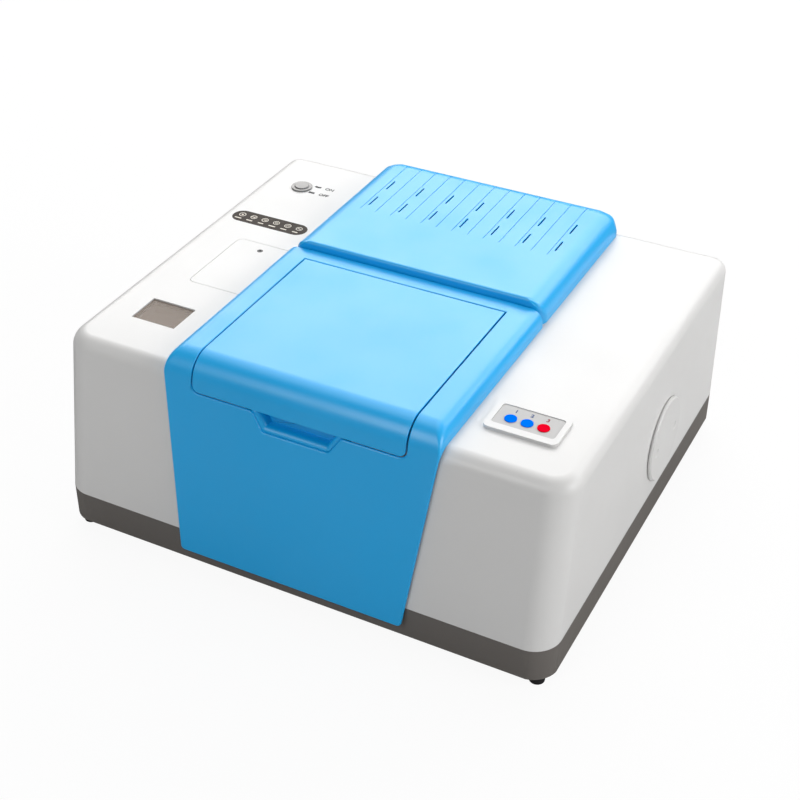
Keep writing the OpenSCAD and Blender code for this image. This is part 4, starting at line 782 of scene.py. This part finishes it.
def shroud_outline(corner_x, corner_z, hole, seam_z):
    """The right half of the panel's outline: its foot, its side, the lid's seam and the finger recess."""
    seam_r = LID_CORNER_R + SEAM_GAP
    right = arc(corner_x, corner_z, PANEL_CORNER_R - PANEL_EDGE_R, -90, 0, CORNER_STEPS)
    right += [(panel_half(z) - PANEL_EDGE_R, z) for z in SIDE_HEIGHTS]
    right += [(hole, BEND_START_Z)]
    right += arc(hole - seam_r, seam_z + seam_r, seam_r, 0, -90, CORNER_STEPS)
    return right + recess_side(seam_z)


def make_shroud():
    """The blue shroud: panel, bend and bands in one skin with a gap for the lid."""
    bm = bmesh.new()
    lips = bm.edges.layers.float.new("bevel_weight_edge")
    order = bm.verts.layers.int.new("order")
    hole = LID_HALF + SEAM_GAP
    corner_z = PANEL_Z + PANEL_CORNER_R
    corner_x = panel_half(corner_z) - PANEL_CORNER_R
    flat_half = panel_half(BEND_START_Z) - PANEL_EDGE_R
    face_of(bm, mirrored(shroud_outline(corner_x, corner_z, hole, LID_LOW_Z - SEAM_GAP)))
    rear = bend_back(bm, edges_at(bm, BEND_START_Z), LID_REAR + SEAM_GAP)
    for v in only(VERT, bmesh.ops.extrude_edge_only(bm, edges=rear)["geom"]):
        v.co.y = SHROUD_BACK
    inner = {}
    for v in bm.verts:
        if near(v.co.z, CROWN_Z) and near(abs(v.co.x), hole) and v.co.y > LID_REAR:
            inner[(v.co.x > 0, v.co.y > 0)] = v
    bm.faces.new([inner[(False, False)], inner[(True, False)], inner[(True, True)], inner[(False, True)]])
    outer = []
    for e in bm.edges:
        if not e.is_boundary:
            continue
        far_out = all(abs(v.co.x) > hole + NEAR or v.co.z < corner_z + NEAR for v in e.verts)
        if far_out and not all(near(v.co.y, SHROUD_BACK) for v in e.verts):
            outer.append(e)
        else:
            e[lips] = 1.0 if max(v.co.z for v in e.verts) < LID_LOW_Z + LID_CORNER_R else 0.5
    for v in bm.verts:
        if near(abs(v.co.x), flat_half) and v.co.z > BEND_START_Z:
            rise = min(1.0, (v.co.z - BEND_START_Z) / (CROWN_Z - BEND_START_Z))
            v.co -= sideways(v.co) * (edge_radius(v.co) - PANEL_EDGE_R)
            v.co += inward(v.co) * SHOULDER_DROP * rise
    roll_edges(bm, outer, order)
    shroud = as_object(bm, "blue_shroud")
    thicken(shroud, BLUE_WALL)
    settle(shroud)
    round_by_weight(shroud, LIP_R, segments=3)
    shroud.modifiers.new("shading", "WEIGHTED_NORMAL").keep_sharp = True
    shade_smooth(shroud)
    return shroud


def grown(points, amount):
    """An outline moved outward by an amount, square to its own edges."""
    count = len(points)
    moved = []
    for i in range(count):
        before, here, after = (Vector(points[(i + k) % count]) for k in (-1, 0, 1))
        first, second = (here - before).normalized(), (after - here).normalized()
        square = Vector((first.y + second.y, -first.x - second.x)).normalized()
        moved.append(tuple(here + square * amount))
    return moved


def make_pocket():
    """The finger recess: a tray let into the panel, whose open top ends behind the lid."""
    rim = LID_LOW_Z - SEAM_GAP
    right = list(reversed(recess_side(rim)))
    top_half = right[-1][0] + POCKET_ASIDE
    outline = mirrored(right + [(top_half, rim + 0.1), (top_half, rim + POCKET_TOP)])
    bm = bmesh.new()
    loops = []
    for growth, depth in POCKET_RINGS:
        behind = max(depth, BLUE_WALL + POCKET_BEHIND_LID)
        verts = [bm.verts.new(on_panel(x, z, behind if z > rim else depth)) for x, z in grown(outline, growth)]
        loops.append([bm.edges.new(pair) for pair in zip(verts, verts[1:] + verts[:1])])
    for outer, inner in zip(loops, loops[1:]):
        bmesh.ops.bridge_loops(bm, edges=outer + inner)
    bmesh.ops.contextual_create(bm, geom=loops[-1])
    bmesh.ops.recalc_face_normals(bm, faces=bm.faces)
    if max(bm.faces, key=lambda f: f.calc_area()).normal.y > 0:
        bmesh.ops.reverse_faces(bm, faces=bm.faces[:])
    pocket = as_object(bm, "finger_pocket", turn_out=False)
    thicken(pocket, POCKET_WALL)
    shade_smooth(pocket, 50.0)
    return pocket


# The lid's hinge
HINGE_Y, HINGE_Z, HINGE_X, HINGE_CLEAR_R = 5.0, 215.0, 80.0, 12.6
ARM_W, ARM_INNER_R, ARM_T, HUB_R, PIN_R = 5.4, 13.0, 4.0, 3.0, 1.55
# The arm's straight end stops short of the pin's bore
ARM_SHORT, ARM_EDGE_R = 0.4, 0.6
TO_SIDE = Matrix.Rotation(math.radians(90), 4, "Y")


def make_lid():
    """The lid: the skin of the bay between the seams, with its two hinge arms."""
    bm = bmesh.new()
    right = arc(LID_HALF - LID_CORNER_R, LID_LOW_Z + LID_CORNER_R, LID_CORNER_R, -90, 0, CORNER_STEPS)
    right += [(LID_HALF, BEND_START_Z)]
    face_of(bm, mirrored(right))
    bend_back(bm, edges_at(bm, BEND_START_Z), LID_REAR)
    lid = as_object(bm, "sample_bay_lid")
    thicken(lid, BLUE_WALL)
    settle(lid)
    cut_half = LID_HALF + 2.0
    carve(lid, disc(HINGE_CLEAR_R, 2 * cut_half, (-cut_half, HINGE_Y, HINGE_Z), TO_SIDE, steps=96))
    arms = bmesh.new()
    for x in (-HINGE_X, HINGE_X):
        join(arms, hinge_arm(x))
    add_islands(lid, arms)
    crisp_edges(lid, 0.5, segments=3)
    shade_smooth(lid)
    return lid


def hinge_arm(x):
    """A curved arm from the lid's underside round the shroud's edge to its hub on the pin."""
    arm = bmesh.new()
    hinge = (0.0, HINGE_Y, HINGE_Z)
    middle_r = ARM_INNER_R + ARM_T / 2
    bmesh.ops.create_cube(arm, size=1.0)
    bmesh.ops.delete(arm, geom=[f for f in arm.faces if f.normal.z < 0.9], context="FACES")
    for v in arm.verts:
        v.co = (x + v.co.x * ARM_W, HINGE_Y + v.co.y * ARM_T, HINGE_Z)
    bmesh.ops.translate(arm, vec=(0.0, -middle_r, 0.0), verts=arm.verts)
    rise = math.asin((CROWN_Z - BLUE_WALL - HINGE_Z) / middle_r)
    bmesh.ops.rotate(arm, cent=hinge, matrix=Matrix.Rotation(-rise, 3, "X"), verts=arm.verts)
    spin(arm, arm.faces[:], hinge, (1.0, 0.0, 0.0), math.radians(90) + rise)
    bmesh.ops.contextual_create(arm, geom=[e for e in arm.edges if e.is_boundary])
    straight = middle_r - PIN_R - ARM_SHORT
    join(arm, plate(ARM_W, ARM_T, straight, ARM_EDGE_R, (x, HINGE_Y, HINGE_Z - middle_r)))
    join(arm, ring(HUB_R, PIN_R, ARM_W, (x - ARM_W / 2, HINGE_Y, HINGE_Z), TO_SIDE))
    return arm


# The vent cover's edges, grooves and slots
VENT_WALL, VENT_FOOT_Z, VENT_APRON_Z = 2.5, TOP_Z - 0.5, 179.0
VENT_SHOULDER_R, VENT_BEND_R, VENT_FRONT_R = 20.0, 26.0, 3.2
VENT_REAR_CORNER_R, VENT_FRONT_CORNER_R = 20.0, 12.0
GROOVES, GROOVE_PITCH, GROOVE_W, GROOVE_DEPTH, GROOVE_Y = 13, 16.8, 0.7, 0.7, 96.6
# The bars that cut the grooves reach out of the cover's face and past its lower edge
GROOVE_REACH, GROOVE_PAST = 3.0, 4.0
SLOT_W, SLOT_L, SLOT_ASIDE, SLOT_ROWS = 1.8, 20.0, 4.2, (116.6, 154.6)
SLOT_LOW, SLOT_H = VENT_Z - 8.0, 12.0


def groove_x(i):
    """The place of a groove across the vent cover."""
    return VENT_MIDDLE - 1.0 + (i - (GROOVES - 1) / 2) * GROOVE_PITCH


def vent_edge_r(edge):
    """The rounding of an edge of the vent cover."""
    ys, zs = [v.co.y for v in edge.verts], [v.co.z for v in edge.verts]
    at_rear, at_front = min(ys) > VENT_REAR - 1, max(ys) < VENT_FRONT + 1
    if min(zs) > VENT_Z - 1:
        return VENT_FRONT_R if at_front else VENT_BEND_R if at_rear else VENT_SHOULDER_R
    if edge.is_boundary:
        return 0.0
    return VENT_REAR_CORNER_R if at_rear else VENT_FRONT_CORNER_R


def make_vent_cover():
    """The vent cover: a domed lid behind the sample bay, grooved and slotted over its rear half."""
    bm = bmesh.new()
    weights = bm.edges.layers.float.new("bevel_weight_edge")
    bmesh.ops.create_cube(bm, size=1.0)
    for v in bm.verts:
        y = VENT_REAR if v.co.y > 0 else VENT_FRONT
        z = VENT_Z if v.co.z > 0 else (VENT_APRON_Z if v.co.y > 0 else VENT_FOOT_Z)
        v.co = (VENT_MIDDLE + v.co.x * VENT_W, y, z)
    underside = [f for f in bm.faces if f.calc_center_median().z < TOP_Z - 5 and abs(f.normal.z) > 0.5]
    bmesh.ops.delete(bm, geom=underside, context="FACES_ONLY")
    for e in bm.edges:
        e[weights] = vent_edge_r(e) / VENT_BEND_R
    vent = as_object(bm, "vent_cover_shell")
    round_by_weight(vent, VENT_BEND_R, segments=10)
    settle(vent)
    thicken(vent, VENT_WALL)
    settle(vent)
    carve(vent, groove_cutter())
    slots = bmesh.new()
    for i in range(0, GROOVES, 2):
        for y in SLOT_ROWS:
            place = (groove_x(i) + SLOT_ASIDE, y, SLOT_LOW)
            join(slots, plate(SLOT_W, SLOT_L, SLOT_H, SLOT_W / 2 - 0.02, place))
    carve(vent, slots)
    crisp_edges(vent, 0.3)
    shade_smooth(vent)
    return vent


def groove_cutter():
    """Thin bars that follow the vent cover's top, its rear bend and its rear wall."""
    bars = bmesh.new()
    bend_y, bend_z = VENT_REAR - VENT_BEND_R, VENT_Z - VENT_BEND_R
    for i in range(GROOVES):
        bar = flat_face(GROOVE_W, GROOVE_REACH + GROOVE_DEPTH)
        middle = VENT_Z + (GROOVE_REACH - GROOVE_DEPTH) / 2
        placed(bar, (groove_x(i), GROOVE_Y, middle), Matrix.Rotation(math.radians(90), 4, "X"))
        drawn = bmesh.ops.extrude_face_region(bar, geom=bar.faces[:])["geom"]
        for v in only(VERT, drawn):
            v.co.y = bend_y
        last = only(FACE, drawn)
        tail = only(FACE, spin(bar, last, (0.0, bend_y, bend_z), (-1.0, 0.0, 0.0), math.radians(90)))
        for v in only(VERT, bmesh.ops.extrude_face_region(bar, geom=tail)["geom"]):
            v.co.z = VENT_APRON_Z - GROOVE_PAST
        inside = [f for f in bar.faces if f in last or f in tail]
        if inside:
            bmesh.ops.delete(bar, geom=inside, context="FACES_ONLY")
        bmesh.ops.remove_doubles(bar, verts=bar.verts, dist=MERGE_DISTANCE)
        join(bars, bar)
    return bars


# The small things on the white top
PRINT_H = 0.12
MARKS, MARK_PITCH, MARK_X, MARK_Y, MARK_R, MARK_LINE = 6, 13.45, -190.0, 71.4, 3.7, 0.75
BAR_D, BAR_Y, BAR_ASIDE = 1.5, 63.6, -0.8
TRAY_WALL, TRAY_DEPTH, TRAY_SLACK = 1.6, 8.0, 0.8
ON_Y, OFF_Y, SIGN_X, WORD_X, WORD_SIZE, WORD_WEIGHT = 160.0, 146.0, -184.6, -176.0, 6.4, 0.025
KEY_PITCH, DIGIT_Y, DIGIT_SIZE = 14.3, KEYPAD.y + 9.4, 6.0


def tray(w, d, h, r, wall, place):
    """An open box whose floor is as thick as its walls."""
    bm = plate(w, d, h, r, place)
    top = max(bm.faces, key=lambda f: f.calc_center_median().z)
    bmesh.ops.inset_region(bm, faces=[top], thickness=wall)
    sunk = bmesh.ops.extrude_discrete_faces(bm, faces=[top])
    bmesh.ops.translate(bm, vec=(0.0, 0.0, wall - h), verts=sunk["faces"][0].verts)
    return bm


def lay_print(bm, name, ink):
    """A thin print that lies on what carries it, on the housing."""
    piece = as_object(bm, name)
    piece.data.materials.append(PRINTS[ink])
    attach(piece, "housing")


def mark_x(i):
    """The place of a sign along the strip."""
    return MARK_X + (i - (MARKS - 1) / 2) * MARK_PITCH


def pictogram(i):
    """One of six plain signs: a ring with a lamp, a beam, a scale, a dial or cells in it."""
    x, y = mark_x(i), MARK_Y
    sign = ring(MARK_R, MARK_R - MARK_LINE, PRINT_H, (x, y, TOP_Z), steps=8 if i % 2 else 28)
    if i == 0:
        join(sign, disc(1.1, PRINT_H, (x, y, TOP_Z), steps=20))
    elif i == 1:
        join(sign, plate(4.6, 0.9, PRINT_H, 0.0, (x - 1.2, y, TOP_Z)))
        join(sign, plate(0.9, 3.0, PRINT_H, 0.0, (x + 1.1, y, TOP_Z)))
    elif i == 2:
        for k in range(3):
            join(sign, plate(0.6, 1.6 + 0.8 * k, PRINT_H, 0.0, (x - 1.2 + 1.2 * k, y, TOP_Z)))
    elif i == 3:
        join(sign, ring(1.5, 1.0, PRINT_H, (x, y, TOP_Z), steps=20))
        join(sign, plate(2.6, 0.5, PRINT_H, 0.0, (x + 2.6, y - 1.2, TOP_Z)))
    else:
        for k in (-1.0, 1.0):
            join(sign, ring(1.0, 0.55, PRINT_H, (x + k, y + 0.5 * k * (9 - 2 * i), TOP_Z), steps=16))
    return sign


def make_strip_marks():
    """Six signs on the dark strip, each over a short bar."""
    marks = bmesh.new()
    for i in range(MARKS):
        join(marks, pictogram(i))
        bar_w = 7.6 - 0.7 * (i % 3)
        join(marks, plate(bar_w, BAR_D, PRINT_H, 0.3, (mark_x(i) + BAR_ASIDE, BAR_Y, TOP_Z)))
    lay_print(marks, "strip_marks", "pale")


def lettering(words, size, place):
    """Print in the built-in font: a word starts at its place, and a single digit is centred on it."""
    curve = bpy.data.curves.new("letters", "FONT")
    curve.body = words
    curve.size = size
    curve.extrude = PRINT_H / 2
    curve.offset = WORD_WEIGHT * size
    curve.align_y = "CENTER"
    curve.align_x = "LEFT" if len(words) > 1 else "CENTER"
    flat = new_object("letters", curve)
    bpy.context.view_layer.update()
    mesh = bpy.data.meshes.new_from_object(flat.evaluated_get(bpy.context.evaluated_depsgraph_get()))
    bm = bmesh.new()
    bm.from_mesh(mesh)
    bpy.data.objects.remove(flat)
    bpy.data.curves.remove(curve)
    bpy.data.meshes.remove(mesh)
    bmesh.ops.remove_doubles(bm, verts=bm.verts, dist=MERGE_DISTANCE)
    bmesh.ops.translate(bm, vec=Vector(place) + Vector((0.0, 0.0, PRINT_H / 2)), verts=bm.verts)
    return bm


def make_switch_marks():
    """The signs and words beside the power button."""
    marks = plate(6.8, 3.2, PRINT_H, 0.4, (SIGN_X, OFF_Y, TOP_Z))
    for side in (-1.0, 1.0):
        tilt = Matrix.Rotation(math.radians(14.0 * side), 4, "Z")
        join(marks, plate(3.9, 2.9, PRINT_H, 0.4, (SIGN_X + 1.7 * side, ON_Y, TOP_Z), tilt))
    join(marks, lettering("ON", WORD_SIZE, (WORD_X, ON_Y, TOP_Z)))
    join(marks, lettering("OFF", WORD_SIZE, (WORD_X, OFF_Y, TOP_Z)))
    lay_print(marks, "switch_marks", "black")


def make_key_digits():
    """A digit behind each key, in the key's colour."""
    membrane_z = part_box("keypad_membrane")[1].z / MM
    for i, ink in enumerate(("navy", "navy", "maroon")):
        digit = lettering(str(i + 1), DIGIT_SIZE, (KEYPAD.x + (i - 1) * KEY_PITCH, DIGIT_Y, membrane_z))
        lay_print(digit, f"key_digit_{i + 1}", ink)


def make_window_tray():
    """A shallow light tray under the window's bezel."""
    floor_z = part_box("window_bezel")[0].z / MM - TRAY_DEPTH
    hollow = tray(WINDOW_W - TRAY_SLACK, WINDOW_D - TRAY_SLACK, TRAY_DEPTH, 1.0, TRAY_WALL,
                  (WINDOW.x, WINDOW.y, floor_z))
    mount(as_object(hollow, "window_tray"), "port_white", "housing")


# The camera as fitted to the photo's edges, in metres and degrees
CAMERA_PLACE, CAMERA_TURN = (0.5439, -1.0846, 0.9457), (55.0435, -0.1597, 27.2880)
CAMERA_LENS, CAMERA_SHIFT = 68.09, (0.0095, -0.0086)
LAMP_DISTANCE, LAMP_AIM = 3.0, Vector((0.0, 0.0, 0.1))
WHITE = (1.0, 1.0, 1.0, 1.0)
FLOOR_SIZE, FLOOR_PALE, FLOOR_IN_GLOSS, FLOOR_GLOW = 12.0, (0.8, 0.8, 0.8), (0.12, 0.12, 0.12), 0.93


def make_camera():
    """The camera at the photograph's viewing angle."""
    camera = new_object("camera", bpy.data.cameras.new("camera"))
    camera.data.lens = CAMERA_LENS
    camera.data.shift_x, camera.data.shift_y = CAMERA_SHIFT
    camera.data.clip_start = 0.01
    camera.location = CAMERA_PLACE
    camera.rotation_euler = [math.radians(a) for a in CAMERA_TURN]
    bpy.context.scene.camera = camera


def make_lamp(name, direction, width, height, brightness):
    """A soft flat lamp in metres, turned to the body's middle; a brightness of 1 looks white."""
    light = bpy.data.lights.new(name, "AREA")
    light.shape = "RECTANGLE"
    light.size, light.size_y = width, height
    light.energy = brightness * math.pi * width * height
    lamp = new_object(name, light)
    lamp.location = LAMP_AIM + Vector(direction).normalized() * LAMP_DISTANCE
    lamp.rotation_euler = (lamp.location - LAMP_AIM).to_track_quat("Z", "Y").to_euler()


def sees_backdrop(tree):
    """One for the rays that show the backdrop: from the camera and through clear pieces."""
    path = tree.nodes.new("ShaderNodeLightPath")
    higher = tree.nodes.new("ShaderNodeMath")
    higher.operation = "MAXIMUM"
    tree.links.new(path.outputs["Is Camera Ray"], higher.inputs[0])
    tree.links.new(path.outputs["Is Transmission Ray"], higher.inputs[1])
    return higher.outputs["Value"]


def blended(tree, first, second):
    """A shader that goes from the first socket to the second, and its mask's socket."""
    node = tree.nodes.new("ShaderNodeMixShader")
    tree.links.new(first, node.inputs[1])
    tree.links.new(second, node.inputs[2])
    return node.outputs["Shader"], node.inputs["Fac"]


def make_world(level):
    """Even studio light at a level; the camera and clear pieces see white."""
    world = bpy.data.worlds.new("studio")
    world.use_nodes = True
    tree = world.node_tree
    light = tree.nodes["Background"]
    light.inputs["Color"].default_value = WHITE
    light.inputs["Strength"].default_value = level
    seen = tree.nodes.new("ShaderNodeBackground")
    seen.inputs["Color"].default_value = WHITE
    seen.inputs["Strength"].default_value = 1.0
    both, mask = blended(tree, light.outputs["Background"], seen.outputs["Background"])
    tree.links.new(sees_backdrop(tree), mask)
    tree.links.new(both, tree.nodes["World Output"].inputs["Surface"])
    bpy.context.scene.world = world


def make_floor():
    """A pale floor: the camera sees it nearly white, with the object's shadow, and gloss sees it darker."""
    bm = flat_face(FLOOR_SIZE, FLOOR_SIZE)
    mesh = bpy.data.meshes.new("floor")
    bm.to_mesh(mesh)
    bm.free()
    material = bpy.data.materials.new("pale floor")
    material.use_nodes = True
    tree = material.node_tree
    shader = tree.nodes["Principled BSDF"]
    path = tree.nodes.new("ShaderNodeLightPath")
    colour = mixed(tree, path.outputs["Is Glossy Ray"], FLOOR_PALE, FLOOR_IN_GLOSS)
    tree.links.new(colour, shader.inputs["Base Color"])
    shader.inputs["Roughness"].default_value = 0.9
    glow = tree.nodes.new("ShaderNodeEmission")
    glow.inputs["Color"].default_value = WHITE
    glow.inputs["Strength"].default_value = 1.0
    glowing, share = blended(tree, shader.outputs["BSDF"], glow.outputs["Emission"])
    share.default_value = FLOOR_GLOW
    pick, mask = blended(tree, shader.outputs["BSDF"], glowing)
    tree.links.new(sees_backdrop(tree), mask)
    tree.links.new(pick, tree.nodes["Material Output"].inputs["Surface"])
    mesh.materials.append(material)
    new_object("floor", mesh)


PRINTS = {
    name: plastic(f"{name} print", None, ink, 0.6, 1500.0, 1e-6, spread)
    for name, ink, spread in (
        ("pale", (0.85, 0.79, 0.69), 0.06), ("black", (0.015, 0.015, 0.016), 0.1),
        ("navy", (0.012, 0.05, 0.2), 0.06), ("maroon", (0.26, 0.012, 0.02), 0.06))
}

make_camera()
make_world(level=0.16)
make_lamp("key", (0.9, 0.05, 0.4), width=1.4, height=1.4, brightness=7.2)
make_lamp("back", (-0.12, 0.85, 0.55), width=6.0, height=1.3, brightness=4.0)
make_lamp("overhead", (-0.2, 0.4, 0.89), width=2.8, height=2.5, brightness=1.75)
make_lamp("front", (-0.15, -0.76, 0.63), width=1.8, height=1.4, brightness=3.2)
make_floor()
bpy.context.scene.view_settings.view_transform = "Standard"

mount(make_white_cover(), "white_cover", "housing", "housing_cover")
mount(make_shroud(), "blue_shell", "housing", "sample_shroud")
mount(make_pocket(), "blue_shell", "housing")
mount(make_lid(), "blue_shell", "lid", "sample_lid")
mount(make_vent_cover(), "blue_shell", "housing", "vent_cover")
make_window_tray()
make_strip_marks()
make_switch_marks()
make_key_digits()
for part in frame["record"]["subparts"]:
    node = nodes[part["node"]]
    dress(node, part["material_slot"])
    crisp_edges(node, 0.35)
    shade_smooth(node)
